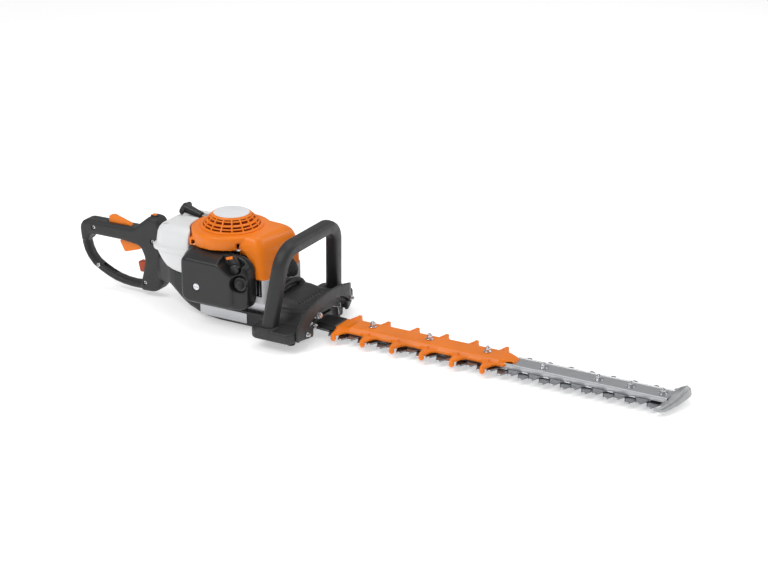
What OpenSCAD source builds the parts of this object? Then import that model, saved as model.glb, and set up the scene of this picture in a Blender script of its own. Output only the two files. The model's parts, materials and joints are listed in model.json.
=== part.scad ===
// Petrol hedge trimmer with a double-sided 600 mm blade.
// Millimetres. +X runs forward along the blade, +Y is the user's left and +Z is up.
// The origin is where the crankshaft axis meets the plane that the machine stands on.

/* [Blade] */
// Distance between two teeth of one blade
tooth_pitch = 38; // [34:1:40]
// Teeth on each side of one blade
tooth_count = 16; // [12:1:18]
// Width over the tooth tips
blade_w = 82; // [70:1:90]
// Thickness of one blade
blade_t = 2.2; // [1.6:0.1:2.4]
// Travel of one blade each way from mid-stroke
half_stroke = 9.5; // [8:0.5:9.5]
// Distance from the crankshaft axis to the first tooth
first_tooth_x = 222; // [216:1:230]
// Width of the guide bar's foot
bar_w = 40; // [34:1:44]

/* [Finger guard] */
// Distance between two fingers
finger_pitch = 57; // [54:1:60]
// Fingers on each side
finger_count = 6; // [4:1:7]
// Distance from the centre line to a finger tip
finger_reach = 50; // [46:1:54]

/* [Engine] */
// Cylinder bore
bore_d = 34; // [30:1:36]
// Piston travel
stroke = 25; // [22:1:26]
// Height of the cylinder axis above the ground
cylinder_z = 88; // [86:1:90]
// Radius of the fan on the flywheel
fan_r = 50; // [44:1:54]
// Radius of the round fan cover
cover_r = 72; // [68:1:74]
// Height of the flat top of the engine cover
cover_top = 165; // [160:1:168]

/* [Handles] */
// Thickness of the rear handle
rear_handle_w = 34; // [30:1:38]
// Diameter of the front handle's tube
front_tube_d = 27; // [24:1:30]
// Height of the middle of the front handle's top bar
front_bar_z = 169; // [160:1:172]
// Half the distance between the front handle's feet
front_foot_y = 111; // [104:1:114]

/* [Gears] */
// Tooth module of the drive gears
gear_module = 1.5; // [1.5:0.1:1.6]
// Teeth on the pinion
pinion_teeth = 15; // [14:1:16]
// Teeth on the drive gear
gear_teeth = 53; // [50:1:53]

/* [Hidden] */

$fn = 48;

// Heights of the drive, from the ground up
lower_blade_z = 9.5;
upper_blade_z = 12.5;
bar_z = 15;
bar_top = 23;
gear_z = 17;
gear_h = 8;
drum_z = 29.5;
case_z = 56;
gear_x = gear_module * (pinion_teeth + gear_teeth) / 2;
eccentric_r = 11;
yoke_play = 2.2;
crank_r = stroke / 2;
rod_l = 57.5;
rear_axis_z = 60;
side_y = 60;
black = [0.13, 0.13, 0.14];
orange = [0.95, 0.42, 0.05];
metal = [0.72, 0.73, 0.75];
pale = [0.87, 0.88, 0.88];
steel = [0.5, 0.51, 0.53];

// Points on an arc, for outlines with true round corners
function arc(cx, cy, r, a0, a1, n = 6) =
  [for (i = [0:n]) [cx + r * cos(a0 + (a1 - a0) * i / n), cy + r * sin(a0 + (a1 - a0) * i / n)]];
function box_outline(x0, y0, x1, y1, r, n = 6) = concat(
  arc(x1 - r, y1 - r, r, 0, 90, n), arc(x0 + r, y1 - r, r, 90, 180, n),
  arc(x0 + r, y0 + r, r, 180, 270, n), arc(x1 - r, y0 + r, r, 270, 360, n));

// A plate with round upright edges
module plate(x0, y0, x1, y1, z0, z1, r = 4) {
  translate([0, 0, z0]) linear_extrude(z1 - z0) polygon(box_outline(x0, y0, x1, y1, r));
}
// A side profile in X and Z, given thickness in Y
module slab(points, y0, y1) {
  translate([0, y1, 0]) rotate([90, 0, 0]) linear_extrude(y1 - y0) polygon(points);
}
module block(x0, y0, z0, x1, y1, z1) {
  translate([x0, y0, z0]) cube([x1 - x0, y1 - y0, z1 - z0]);
}
module post(x, y, z0, z1, r) {
  translate([x, y, z0]) cylinder(h = z1 - z0, r = r);
}
module rod_x(x0, x1, y, z, r) {
  translate([x0, y, z]) rotate([0, 90, 0]) cylinder(h = x1 - x0, r = r);
}
module rod_y(x, y0, y1, z, r) {
  translate([x, y1, z]) rotate([90, 0, 0]) cylinder(h = y1 - y0, r = r);
}
module ring(x, y, z0, z1, r0, r1) {
  difference() {
    post(x, y, z0, z1, r1);
    post(x, y, z0 - 1, z1 + 1, r0);
  }
}
// A hexagon-headed screw standing on a face, head up
module hex_screw(d, head_h, shank_l) {
  cylinder(h = head_h, r = d, $fn = 6);
  translate([0, 0, -shank_l]) cylinder(h = shank_l + 1, r = d / 2);
}
function unit(v) = v / norm(v);
function along(path, i) =
  i == 0 ? unit(path[1] - path[0]) :
  i == len(path) - 1 ? unit(path[i] - path[i - 1]) :
  unit(unit(path[i + 1] - path[i]) + unit(path[i] - path[i - 1]));
// One ring of points round a route; side_way is any direction that the route never takes
function route_ring(path, i, r, sides, side_way) =
  let (t = along(path, i), n = unit(side_way - (side_way * t) * t), b = cross(t, n))
    [for (k = [0:sides - 1]) path[i] + r * (cos(360 * k / sides) * n + sin(360 * k / sides) * b)];
// A tube swept along a route as one closed solid
module swept_tube(path, d, sides, side_way) {
  rings = len(path);
  skin = [for (i = [0:rings - 1]) each route_ring(path, i, d / 2, sides, side_way)];
  walls = [for (i = [0:rings - 2], k = [0:sides - 1], half = [0, 1])
    let (a = i * sides + k, b = i * sides + (k + 1) % sides)
      half == 0 ? [a, a + sides, b] : [b, a + sides, b + sides]];
  ends = [[for (k = [0:sides - 1]) k], [for (k = [sides - 1:-1:0]) (rings - 1) * sides + k]];
  polyhedron(skin, concat(walls, ends), convexity = 10);
}

// ---------------------------------------------------------------- lower housings
tail_profile = [
  [107, 0], [-92, 0], [-139, 24], [-139, 90], [-121, 90], [-76, 42], [-46, 31], [107, 31]
];
tail_hollow = [
  [108, 3.2], [-90, 3.2], [-134, 27], [-134, 86], [-124, 86], [-80, 37], [-46, 32], [108, 32]
];
module engine_base() {
  color(black) difference() {
    slab(tail_profile, -50, 50);
    slab(tail_hollow, -46.5, 46.5);
    // narrow tail behind the engine
    for (side = [-1, 1]) {
      translate([-139, side * 50, -1]) rotate([0, 0, side * 16])
        translate([-10, side > 0 ? 0 : -60, 0]) cube([75, 60, 140]);
    }
    block(-42, -60, 30.9, 120, 60, 60);
    rod_x(-145, -130, 0, rear_axis_z, 10);
  }
}
module swivel_flange() {
  color(black) difference() {
    union() {
      rod_x(-145.8, -139, 0, rear_axis_z, 27);
      rod_x(-139.2, -134, 0, rear_axis_z, 9.9);
    }
    rod_x(-150, -130, 0, rear_axis_z, 7);
  }
}
module rubber_buffers() {
  color([0.06, 0.06, 0.06]) for (side = [-1, 1]) {
    rod_x(-47, -33.2, side * 30, 22, 9);
    rod_y(40, min(side * 42, side * 46.4), max(side * 42, side * 46.4), 40, 8);
  }
}
module gear_cover() {
  color(metal) difference() {
    plate(-22, -44, 106.5, 44, 3.5, 15.9, 12);
    block(16, -28.8, 9.2, 120, 28.8, 20);
    post(0, 0, 5.9, 20, 13);
    post(gear_x, 0, 4.9, 20, 10);
    post(0, 0, 3, 6, 8);
  }
}
module gear_housing() {
  color(metal) difference() {
    plate(-33, -46 + 4, 106.5, 46 - 4, 16, 52, 14);
    post(gear_x, 0, 15, 27.4, gear_module * gear_teeth / 2 + 1.9);
    post(0, 0, 15, 29, gear_module * pinion_teeth / 2 + 2.5);
    post(0, 0, 28.4, 60, 29.5);
    post(gear_x, 0, 27, 38.2, 15);
    block(gear_x, -26, 15, 120, 26, 24.5);
    for (side = [-1, 1]) block(78, min(side * 10, side * 38), 30, 101, max(side * 10, side * 38), 60);
  }
}
module drive_bearings() {
  color(steel) {
    ring(0, 0, 6, 12.6, 6.03, 13);
    ring(gear_x, 0, 5, 8.8, 4.53, 10);
    ring(gear_x, 0, 29.5, 38, 7.03, 15);
  }
}
front_x = 196;
front_profile = concat(
  [[107.5, 5], [front_x, 5]], arc(front_x - 14, 46, 14, 0, 70), arc(140, 34, 30, 60, 110), [[107.5, 52]]);
module front_housing() {
  color(black) difference() {
    union() {
      slab(front_profile, -62, 62);
      // wings that carry the handle and the guard
      plate(112, -front_foot_y - 15, front_x, front_foot_y + 15, 8, 30, 14);
      for (side = [-1, 1]) post(168, side * 80, 0, 9, 8);
      // ribs on top of the casting
      for (i = [-3:3]) translate([0, i * 12, 0]) slab([[142, 58], [176, 50], [194, 60],
        [180, 65]], -1.5, 1.5);
    }
    block(100, -30, 4, 210, 30, 31);
    block(113, -98, 11, front_x - 4, -64, 26);
    block(113, 64, 11, front_x - 4, 98, 26);
    // seats for the handle's feet
    for (side = [-1, 1]) post(140, side * front_foot_y, foot_z - 0.2, 80, tube_r + 5);
    for (side = [-1, 1]) post(140, side * front_foot_y, 0, 20, 2.6);
    for (y = [-70, 70]) rod_x(180, 210, y, 28, 2.6);
    // arch under the guard
    block(182, -46, 4, 210, 46, 36);
  }
}
guard_half = 102;
module hand_guard() {
  crown = arc(0, -170, 250, 90 - 24, 90 + 24, 12);
  arch = arc(0, -130, 180, 90 + 19, 90 - 19, 12);
  color(black) difference() {
    translate([front_x + 0.2, 0, 0]) rotate([90, 0, 90]) linear_extrude(5)
      polygon(concat(crown, [[-guard_half, 24], [-66, 18]], arch, [[66, 18], [guard_half, 24]]));
    for (y = [-70, 70]) rod_x(190, 210, y, 28, 2.6);
  }
}

// ---------------------------------------------------------------- front handle
// The handle leans forward a little, and its legs lean in
lean = 0.11;
leg_tilt = 9.7;
corner_r = 38;
foot_z = 12.3;
tube_r = front_tube_d / 2;
corner_z = front_bar_z - corner_r;
corner_y = front_foot_y - (corner_z - foot_z) * tan(leg_tilt) - corner_r / cos(leg_tilt);
function handle_x(z) = 140 + lean * (z - foot_z);
half_front = concat([[front_foot_y, foot_z]], arc(corner_y, corner_z, corner_r, leg_tilt, 90, 9));
front_route = [
  for (p = concat(half_front, [for (i = [len(half_front) - 1:-1:0]) [-half_front[i][0],
    half_front[i][1]]]))
    [handle_x(p[1]), p[0], p[1]]
];
module front_handle() {
  color(black) difference() {
    union() {
      swept_tube(front_route, front_tube_d, 28, [1, 0, -lean]);
      for (side = [-1, 1]) post(140, side * front_foot_y, foot_z, foot_z + 16, tube_r + 2);
    }
    block(100, -200, -20, 200, 200, foot_z);
    for (side = [-1, 1]) post(140, side * front_foot_y, 0, foot_z + 24, 2.6);
  }
}
module handle_screws() {
  color(metal) {
    for (side = [-1, 1]) translate([140, side * front_foot_y, 7.9]) mirror([0, 0, 1]) hex_screw(5, 3, 26);
    for (y = [-70, 70]) translate([front_x + 5.3, y, 28]) rotate([0, 90, 0]) hex_screw(5, 3, 16);
  }
}
module rating_plate() {
  color(pale) block(-40, -50.7, 7, 62, -50.05, 27);
}

// ---------------------------------------------------------------- engine
module crankcase() {
  color(metal) difference() {
    union() {
      post(0, 0, case_z, 118, 34);
      ring(0, 0, 52.05, case_z + 1, 30, 38);
      translate([22, -26, 64]) cube([14, 52, 48]);
    }
    post(0, 0, 72, 104, 24);
    post(0, 0, 60, 70, 14);
    post(0, 0, 106, 116, 14);
    post(0, 0, 50, 120, 8);
    rod_x(10, 40, 0, cylinder_z, bore_d / 2 + 4.1);
  }
}
module cylinder_fins() {
  for (i = [0:6]) translate([42 + 7 * i, -36, cylinder_z - 30]) cube([2, 72, 62]);
}
module engine_cylinder() {
  color(metal) difference() {
    union() {
      rod_x(26, 92, 0, cylinder_z, bore_d / 2 + 4);
      cylinder_fins();
      block(36.2, -26, 64, 40, 26, 112);
      rod_y(62, -46, -10, cylinder_z, 9);
      rod_y(62, 10, 46, cylinder_z, 10);
    }
    rod_x(20, 86, 0, cylinder_z, bore_d / 2);
    rod_x(80, 100, 0, cylinder_z, 5);
    rod_y(62, -60, -12, cylinder_z, 6.5);
    rod_y(62, 12, 60, cylinder_z, 7);
  }
}
web_gap = 12;
module crankshaft() {
  low = cylinder_z - web_gap / 2;
  high = cylinder_z + web_gap / 2;
  color(steel) {
    post(0, 0, low - 8, low, 22);
    post(0, 0, 33, low - 7, 6);
    post(0, 0, 34, 46, 9.8);
    post(0, 0, high, high + 8, 22);
    post(0, 0, high + 7, 152, 6);
  }
}
module crank_bearings() {
  color(steel) {
    ring(0, 0, 60.05, 69.9, 6.03, 14);
    ring(0, 0, 106.05, 115.9, 6.03, 14);
  }
}
pin_x = crank_r + rod_l;
module piston() {
  color(metal) difference() {
    rod_x(pin_x - 12, pin_x + 14, 0, cylinder_z, bore_d / 2 - 0.06);
    rod_x(pin_x - 14, pin_x + 9, 0, cylinder_z, bore_d / 2 - 3);
  }
  color(steel) rod_y(pin_x, -14, 14, cylinder_z, 4);
}
module connecting_rod() {
  color(steel) difference() {
    union() {
      post(crank_r, 0, cylinder_z - 5, cylinder_z + 5, 9);
      slab([[18, 85.5], [64, 86], [64, 90], [18, 90.5]], -3.5, 3.5);
      rod_y(pin_x, -5, 5, cylinder_z, 7.5);
    }
    rod_y(pin_x, -20, 20, cylinder_z, 4.05);
    post(crank_r, 0, 70, 110, 5.05);
  }
  color(metal) post(crank_r, 0, cylinder_z - web_gap / 2 + 0.1, cylinder_z + web_gap / 2 - 0.1, 5);
}
module flywheel() {
  color(metal) difference() {
    union() {
      post(0, 0, 121, 146, 13);
      post(0, 0, 121, 127, fan_r - 1);
      for (i = [0:15]) rotate([0, 0, i * 22.5]) translate([26, -1.2, 126]) rotate([0, 0,
        14]) cube([fan_r - 28, 2.4, 22]);
    }
    post(0, 0, 110, 160, 6.02);
    ring(0, 0, 120, 123, 30, 40);
  }
}
module flywheel_nut() {
  color(steel) difference() {
    translate([0, 0, 146.1]) cylinder(h = 5, r = 10, $fn = 6);
    post(0, 0, 140, 160, 6.02);
  }
}
module ignition_module() {
  color([0.08, 0.08, 0.09]) difference() {
    block(46, -20, 122, 66, 20, 134);
    post(0, 0, 100, 150, fan_r + 1);
  }
}
module spark_plug() {
  color(pale) {
    rod_x(84.5, 92, 0, cylinder_z, 4.9);
    translate([92.1, 0, cylinder_z]) rotate([0, 90, 0]) cylinder(h = 7, r = 9, $fn = 6);
    rod_x(99, 112, 0, cylinder_z, 4.5);
  }
}
module plug_boot() {
  color([0.05, 0.05, 0.06]) difference() {
    union() {
      rod_x(108, 126, 0, cylinder_z, 11);
      translate([119, 0, cylinder_z]) rotate([0, -12, 0]) cylinder(h = 30, r1 = 12, r2 = 8);
    }
    rod_x(100, 112.3, 0, cylinder_z, 4.6);
    block(128, -30, 60, 150, 30, 130);
  }
}
lead_path = [[66.1, 0, 126], [84, 0, 125], [97, 0, 122], [106, 0, 122.5], [112, 0, 118.5]];
module ignition_lead() {
  color([0.05, 0.05, 0.06]) swept_tube(lead_path, 5, 8, [0, 1, 0]);
}

// ---------------------------------------------------------------- engine covers
cover_front = [[0, cover_top], [70, cover_top], [80, cover_top - 5], [107, 104], [107, 98], [0, 98]];
cover_front_in = [[-5, cover_top - 3], [68, cover_top - 3], [77, cover_top - 8], [104, 103],
  [104, 90], [-5, 90]];
dome_r = 54;
dome_top = 187;
module dome_cage() {
  rib_count = 16;
  difference() {
    translate([0, 0, cover_top - 1]) cylinder(h = dome_top - cover_top + 1, r1 = dome_r, r2 = 34);
    translate([0, 0, cover_top - 4]) cylinder(h = dome_top - cover_top + 1, r1 = dome_r - 2, r2 = 32);
    difference() {
      ring(0, 0, cover_top + 2, dome_top - 4, 30, 70);
      for (i = [0:rib_count - 1]) rotate([0, 0, (i + 0.5) * 360 / rib_count]) translate([20, -1,
        150]) cube([60, 2, 60]);
      ring(0, 0, 160, 200, 46, 48.4);
      ring(0, 0, 160, 200, 40, 42);
    }
  }
}
module top_cover() {
  color(orange) difference() {
    union() {
      difference() {
        union() {
          post(0, 0, 137, cover_top, cover_r);
          slab(cover_front, -side_y, side_y);
          // ear over the rear screw
          translate([-50, -44, 134.4]) cylinder(h = 16, r = 12);
        }
        post(0, 0, 120, cover_top - 3, cover_r - 3);
        slab(cover_front_in, -side_y + 3, side_y - 3);
        block(-60, -80, 90, 0, 80, 129.9);
        post(0, 0, cover_top - 5, 200, dome_r - 2.5);
      }
      dome_cage();
      post(0, 0, 153, dome_top - 1, 4.9);
    }
    // openings for the spark plug, the carburettor and the rope
    block(88, -16, 60, 125, 16, 129);
    rod_y(62, -70, 70, cylinder_z, 11.4);
    block(-90, rope_y - 6, 152, -60, rope_y + 6, 167);
    for (p = screw_places) translate([p[0], p[1], 140]) cylinder(h = 40, r = 4.6);
    for (p = screw_places) post(p[0], p[1], 120, 200, 2.1);
  }
}
screw_places = [[-50, -44], [44, -50], [-46, 46], [40, 50]];
module cover_screws() {
  color(metal) for (p = screw_places) translate([p[0], p[1], 0]) {
    post(0, 0, 134.4, 142, 2);
    post(0, 0, 141, 144, 4.2);
  }
}
module badge_disc() {
  color(pale) post(0, 0, dome_top + 0.05, dome_top + 2, 31.5);
}
module engine_shroud() {
  color(pale) difference() {
    plate(-41, -side_y, 107, side_y, 54, 97.8, 10);
    plate(-38, -side_y + 3, 104, side_y - 3, 50, 99, 8);
    block(26, -70, 66, 98, -50, 99);
    block(26, 50, 66, 98, 70, 99);
    block(95, -16, 66, 125, 16, 99);
    block(-60, -57, 50, -30, 40, 99);
  }
}
module muffler() {
  color(steel) difference() {
    union() {
      translate([12, 64, 48]) cube([76, 30, 56]);
      rod_y(62, 46.2, 65, cylinder_z, 11);
      rod_x(86, 100, 80, 60, 6);
    }
    translate([14, 66, 50]) cube([72, 26, 52]);
    rod_y(62, 40, 70, cylinder_z, 9);
    rod_x(80, 110, 80, 60, 4.5);
  }
}
module muffler_shield() {
  color(black) difference() {
    translate([7, 62, 43]) cube([90, 38, 66]);
    translate([9, 60, 45]) cube([86, 37, 62]);
    rod_x(90, 110, 80, 60, 8);
    for (i = [0:6]) block(16 + 11 * i, 90, 54, 22 + 11 * i, 110, 98);
  }
}

// ---------------------------------------------------------------- starter
rope_r = 2;
rope_y = 20;
rope_z = 160;
module starter_pulley() {
  color([0.2, 0.2, 0.22]) difference() {
    union() {
      post(0, 0, 154, 156, 31);
      post(0, 0, 156, 164, rope_y - rope_r - 0.1);
      post(0, 0, 164, 166, 31);
    }
    post(0, 0, 150, 170, 5.1);
  }
}
module rewind_spring() {
  color(steel) for (i = [0:4]) ring(0, 0, 167, 174, 9 + 4 * i, 10 + 4 * i);
}
rope_path = [[0, rope_y, rope_z], [-62, rope_y, rope_z], [-74, rope_y, rope_z + 1.5],
  [-84, rope_y, rope_z + 4]];
module starter_rope() {
  color([0.75, 0.75, 0.7]) swept_tube(rope_path, 2 * rope_r, 8, [0, 1, 0]);
}
grip_tilt = -76;
module starter_grip() {
  color([0.06, 0.06, 0.07]) translate([-75.5, rope_y, rope_z + 2]) rotate([0, grip_tilt,
    0]) difference() {
    union() {
      cylinder(h = 37, r1 = 6.5, r2 = 9);
      // the T bar leans back over the cone
      translate([0, 0, 42]) rotate([0, 16, 0]) hull() {
        for (s = [-1, 1]) translate([s * 15, 0, 0]) rotate([90, 0, 0]) cylinder(h = 18, r = 6.5,
          center = true);
      }
    }
    translate([0, 0, -1]) cylinder(h = 14, r = rope_r + 0.6);
  }
}

// ---------------------------------------------------------------- fuel
tank_side = [[-133, 92], [-119, 92.5], [-75, 44], [-51, 40], [-51, 134], [-77, 134], [-77, 156],
  [-88, 166], [-118, 160], [-133, 144]];
tank_half = 58;
cap_x = -95;
cap_z = 126;
module fuel_tank() {
  color([0.9, 0.9, 0.88]) difference() {
    intersection() {
      slab(tank_side, -tank_half, tank_half);
      plate(-133, -tank_half, 0, tank_half, 0, 200, 34);
    }
    intersection() {
      slab([[-130, 95], [-118, 95], [-74, 47], [-54, 43], [-54, 131], [-80, 131], [-80, 154],
        [-89, 163], [-117, 157], [-130, 142]],
        -tank_half + 3, tank_half - 3);
      plate(-130, -tank_half + 3, 5, tank_half - 3, 0, 200, 31);
    }
    rod_y(cap_x, tank_half - 10, tank_half + 10, cap_z, 15);
    // recess under the starter grip
    block(-140, 8, 149, -60, 34, 180);
  }
  color([0.9, 0.9, 0.88]) intersection() {
    difference() {
      slab([[-136, 106], [-52, 97], [-52, 102], [-136, 111]], -tank_half - 3, tank_half + 3);
      slab(tank_side, -tank_half, tank_half);
    }
    plate(-136, -tank_half - 3, 0, tank_half + 3, 0, 200, 37);
  }
}
module tank_cap() {
  color(black) {
    rod_y(cap_x, tank_half - 8, tank_half + 4, cap_z, 14.6);
    rod_y(cap_x, tank_half + 3.5, tank_half + 14, cap_z, 18);
  }
}
module fuel_line() {
  color([0.25, 0.22, 0.18]) {
    post(-64, 20, 56, 70, 7);
    post(-64, 20, 68, 124, 2.5);
  }
}

// ---------------------------------------------------------------- intake
filter_screw_x = -13;
filter_screw_z = 78;
module carburettor() {
  color(metal) difference() {
    union() {
      block(44, -82, 74, 80, -62.5, 106);
      rod_y(62, -62.6, -46.2, cylinder_z, 11);
      rod_x(40, 84, -72, 96, 4);
    }
    rod_y(62, -90, -40, cylinder_z, 7);
  }
}
module filter_base() {
  color(black) difference() {
    translate([0, -60.3, 0]) rotate([90, 0, 0]) linear_extrude(3) polygon(box_outline(-44, 46,
      90, 134, 16));
    block(36, -70, 64, 98, -50, 112);
  }
}
module air_filter() {
  color([0.8, 0.78, 0.7]) difference() {
    translate([0, -64, 0]) rotate([90, 0, 0]) linear_extrude(22) polygon(box_outline(-32, 62, 34,
      122, 10));
    rod_y(filter_screw_x, -100, -50, filter_screw_z, 5);
  }
}
module filter_cover() {
  color(black) difference() {
    translate([0, -63.5, 0]) rotate([90, 0, 0]) linear_extrude(34.5) polygon(box_outline(-44, 46,
      92, 134, 16));
    translate([0, -60, 0]) rotate([90, 0, 0]) linear_extrude(35) polygon(box_outline(-41, 49, 89,
      131, 14));
    rod_y(filter_screw_x, -110, -90, filter_screw_z, 4.1);
    // recess with the primer and the choke knob
    rod_y(74, -110, -90, 99, 12.2);
    rod_y(58, -110, -90, 118, 7.2);
  }
}
module filter_screw() {
  color(metal) {
    rod_y(filter_screw_x, -97.9, -63.6, filter_screw_z, 3);
    rod_y(filter_screw_x, -101.5, -98.05, filter_screw_z, 7);
  }
}
module primer_bulb() {
  color([0.1, 0.1, 0.11]) {
    rod_y(74, -97, -90, 99, 11.9);
    intersection() {
      translate([74, -94, 99]) sphere(r = 11.5);
      block(50, -120, 80, 100, -94, 120);
    }
  }
}
module choke_knob() {
  color(orange) {
    rod_y(58, -98, -84, 118, 7);
    translate([58, -98.3, 118]) rotate([90, 25, 0]) linear_extrude(6) polygon(box_outline(-14,
      -4, 8, 4, 4));
    rod_y(58, -98.4, -97, 118, 5);
  }
}
cable_path = [[-132, 0, 60], [-112, -8, 50], [-80, -26, 26], [-44, -38, 30], [-42, -46, 54],
  [0, -50.5, 62], [40, -54, 68]];
module throttle_cable() {
  color([0.05, 0.05, 0.05]) swept_tube(cable_path, 4, 8, [0.3, -1, 0.6]);
}

// ---------------------------------------------------------------- clutch and drive
module clutch_shoes() {
  color(steel) for (side = [0, 180]) rotate([0, 0, side]) difference() {
    ring(0, 0, 34, 46, 10, 23.6);
    block(-40, -40, 30, 1, 40, 50);
  }
  color(metal) ring(0, 0, 46.2, 48, 14, 16);
}
// A gear outline with straight-flanked teeth: root, flank, tip
function gear_outline(teeth, phase) = [
  for (i = [0:teeth - 1], k = [0:3])
    let (
      pitch_r = gear_module * teeth / 2,
      r = (k == 1 || k == 2) ? pitch_r + 0.8 * gear_module : pitch_r - 1.15 * gear_module,
      half_angle = ((k == 1 || k == 2) ? 0.16 : 0.3) * 360 / teeth,
      a = phase + i * 360 / teeth + (k < 2 ? -half_angle : half_angle)
    ) [r * cos(a), r * sin(a)]
];
module clutch_drum() {
  color(steel) difference() {
    union() {
      post(0, 0, drum_z, 47, 27);
      translate([0, 0, gear_z]) linear_extrude(gear_h) polygon(gear_outline(pinion_teeth, 0));
      post(0, 0, 6, drum_z + 1, 6);
    }
    post(0, 0, 32, 50, 24.6);
  }
}
module drive_gear() {
  color(steel) {
    translate([gear_x, 0, gear_z]) linear_extrude(gear_h)
      polygon(gear_outline(gear_teeth, 180 + 180 / gear_teeth));
    post(gear_x, 0, gear_z + gear_h - 1, 38, 7);
    post(gear_x, 0, 5, 9.4, 4.5);
    post(gear_x, 0, 9, gear_z + 0.5, 3.4);
    post(gear_x, half_stroke, upper_blade_z - 0.4, gear_z + 0.5, eccentric_r);
    post(gear_x, -half_stroke, 9.3, upper_blade_z - 0.4, eccentric_r);
  }
}

// ---------------------------------------------------------------- blades
strip_half = 21;
function tooth(x, side) = [
  [x - 11, side * strip_half], [x - 4.5, side * (blade_w / 2 - 3)], [x - 2, side * blade_w / 2],
  [x + 2, side * blade_w / 2], [x + 4.5, side * (blade_w / 2 - 3)], [x + 11, side * strip_half]
];
function flatten(lists) = [for (l = lists, p = l) p];
function blade_outline(first, count) = concat(
  [[first - 20, -14]],
  flatten([for (i = [0:count - 1]) tooth(first + i * tooth_pitch, -1)]),
  [[first + (count - 1) * tooth_pitch + 14, -strip_half],
    [first + (count - 1) * tooth_pitch + 14, strip_half]],
  flatten([for (i = [count - 1:-1:0]) let (t = tooth(first + i * tooth_pitch,
    1)) [for (k = [5:-1:0]) t[k]]]),
  [[first - 20, 14]]);
bolt_x = [284, 394, 504, 607, 706, 762, 818];
module blade(first, z) {
  color(metal) difference() {
    union() {
      translate([0, 0, z]) linear_extrude(blade_t) polygon(blade_outline(first, tooth_count));
      block(gear_x, -14, z, first - 15, 14, z + blade_t);
      plate(gear_x - 19, -27, gear_x + 19, 27, z, z + blade_t, 4);
    }
    block(gear_x - eccentric_r - yoke_play, -eccentric_r - half_stroke - 0.6, z - 1,
      gear_x + eccentric_r + yoke_play, eccentric_r + half_stroke + 0.6, z + 5);
    // slots that slide on the bar's bolts
    for (x = bolt_x) plate(x - 4.3 - half_stroke, -4.3, x + 4.3 + half_stroke, 4.3, z - 1, z + 5, 4.2);
  }
}
module upper_blade() {
  blade(first_tooth_x, upper_blade_z);
}
module lower_blade() {
  blade(first_tooth_x + tooth_pitch / 2, lower_blade_z);
}
last_x = first_tooth_x + tooth_count * tooth_pitch;
module bar_section(x0, x1) {
  h = bar_top - bar_z;
  translate([x0, 0, bar_z]) rotate([90, 0, 90]) linear_extrude(x1 - x0)
    polygon([[-bar_w / 2, 0], [bar_w / 2, 0], [bar_w / 2, 3], [15, h], [11, h], [10, h - 1.5],
      [-10, h - 1.5], [-11, h], [-15, h], [-bar_w / 2, 3]]);
}
module guide_bar() {
  color(metal) difference() {
    bar_section(188, last_x + 3);
    for (x = bolt_x) post(x, 0, 10, 40, 3.1);
    for (s = [-1, 1]) post(200, s * 11, 10, 40, 3.1);
  }
}
module bar_holder() {
  color(black) difference() {
    union() {
      block(110, -29.7, 15.2, 186, 29.7, 30.7);
      block(176, -24, bar_top + 0.1, 222, 24, bar_top + 5);
    }
    block(100, -16, 9, 187, 16, 15.4);
    for (s = [-1, 1]) post(200, s * 11, 10, 40, 3.1);
  }
}
module bar_bolts() {
  color(metal) {
    for (i = [0:len(bolt_x) - 1]) {
      top = i < 3 ? 29.3 : bar_top;
      translate([bolt_x[i], 0, top + 0.05]) hex_screw(6, 5, top - 6);
      post(bolt_x[i], 0, 6.5, 9.2, 7);
    }
    for (s = [-1, 1]) translate([200, s * 11, bar_top + 5.05]) hex_screw(6, 7, 12.5);
  }
}
guard_x0 = 222;
guard_nose = 560;
module finger_guard() {
  color(orange) difference() {
    union() {
      difference() {
        translate([guard_x0, 0, bar_z + 0.5]) rotate([90, 0, 90]) linear_extrude(guard_nose - guard_x0)
          polygon([[-25, 0], [25, 0], [25, 6], [17, 13.5], [-17, 13.5], [-25, 6]]);
        translate([guard_x0 - 1, 0, 0]) rotate([90, 0, 90]) linear_extrude(500)
          polygon([[-20.3, 5], [20.3, 5], [20.3, 18.3], [15.3, bar_top + 0.3],
            [-15.3, bar_top + 0.3], [-20.3, 18.3]]);
        block(guard_nose - 20, -40, 0, guard_nose + 20, -16, 60);
        block(guard_nose - 20, 16, 0, guard_nose + 20, 40, 60);
      }
      for (i = [0:finger_count - 1], side = [-1, 1])
        if (side < 0) finger_left(232 + i * finger_pitch);
        else mirror([0, 1, 0]) finger_left(232 + i * finger_pitch);
    }
    for (x = bolt_x) post(x, 0, 10, 40, 3.1);
  }
}
// One finger with a web on each side and a blunt hook at its tip
module finger_left(x) {
  tip = finger_reach - 4;
  translate([0, 0, 17]) linear_extrude(5)
    polygon([[x - 12, -24.5], [x - 3.4, -tip], [x + 3.4, -tip], [x + 5, -36], [x + 14, -24.5]]);
  translate([x, -tip, 8]) cylinder(h = 14, r = 4.4);
}
module tip_guard() {
  nose = last_x + 33;
  outer = concat([[last_x - 14, -44]], arc(last_x - 20, 0, 45, -76, 76, 14), [[last_x - 14, 44]]);
  color([0.6, 0.6, 0.61]) difference() {
    union() {
      translate([0, 0, 5.5]) linear_extrude(12) polygon(outer);
      intersection() {
        translate([0, 0, 5.5]) linear_extrude(26) polygon(outer);
        translate([last_x - 4, 0, 22]) rotate([90, 0, 0]) cylinder(h = 70, r = 20, center = true);
        block(last_x + 3.4, -60, 0, nose + 20, 60, 60);
      }
    }
    // pocket for the blades' ends and the bar
    block(last_x - 40, -42.5, 8.6, last_x + 12, 42.5, 15.2);
    block(last_x - 40, -20.4, 10, last_x + 3.3, 20.4, 40);
    block(last_x - 40, -60, 15, last_x + 3.3, 60, 40);
    post(bolt_x[len(bolt_x) - 1], 0, 0, 12, 7.4);
  }
}

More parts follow.
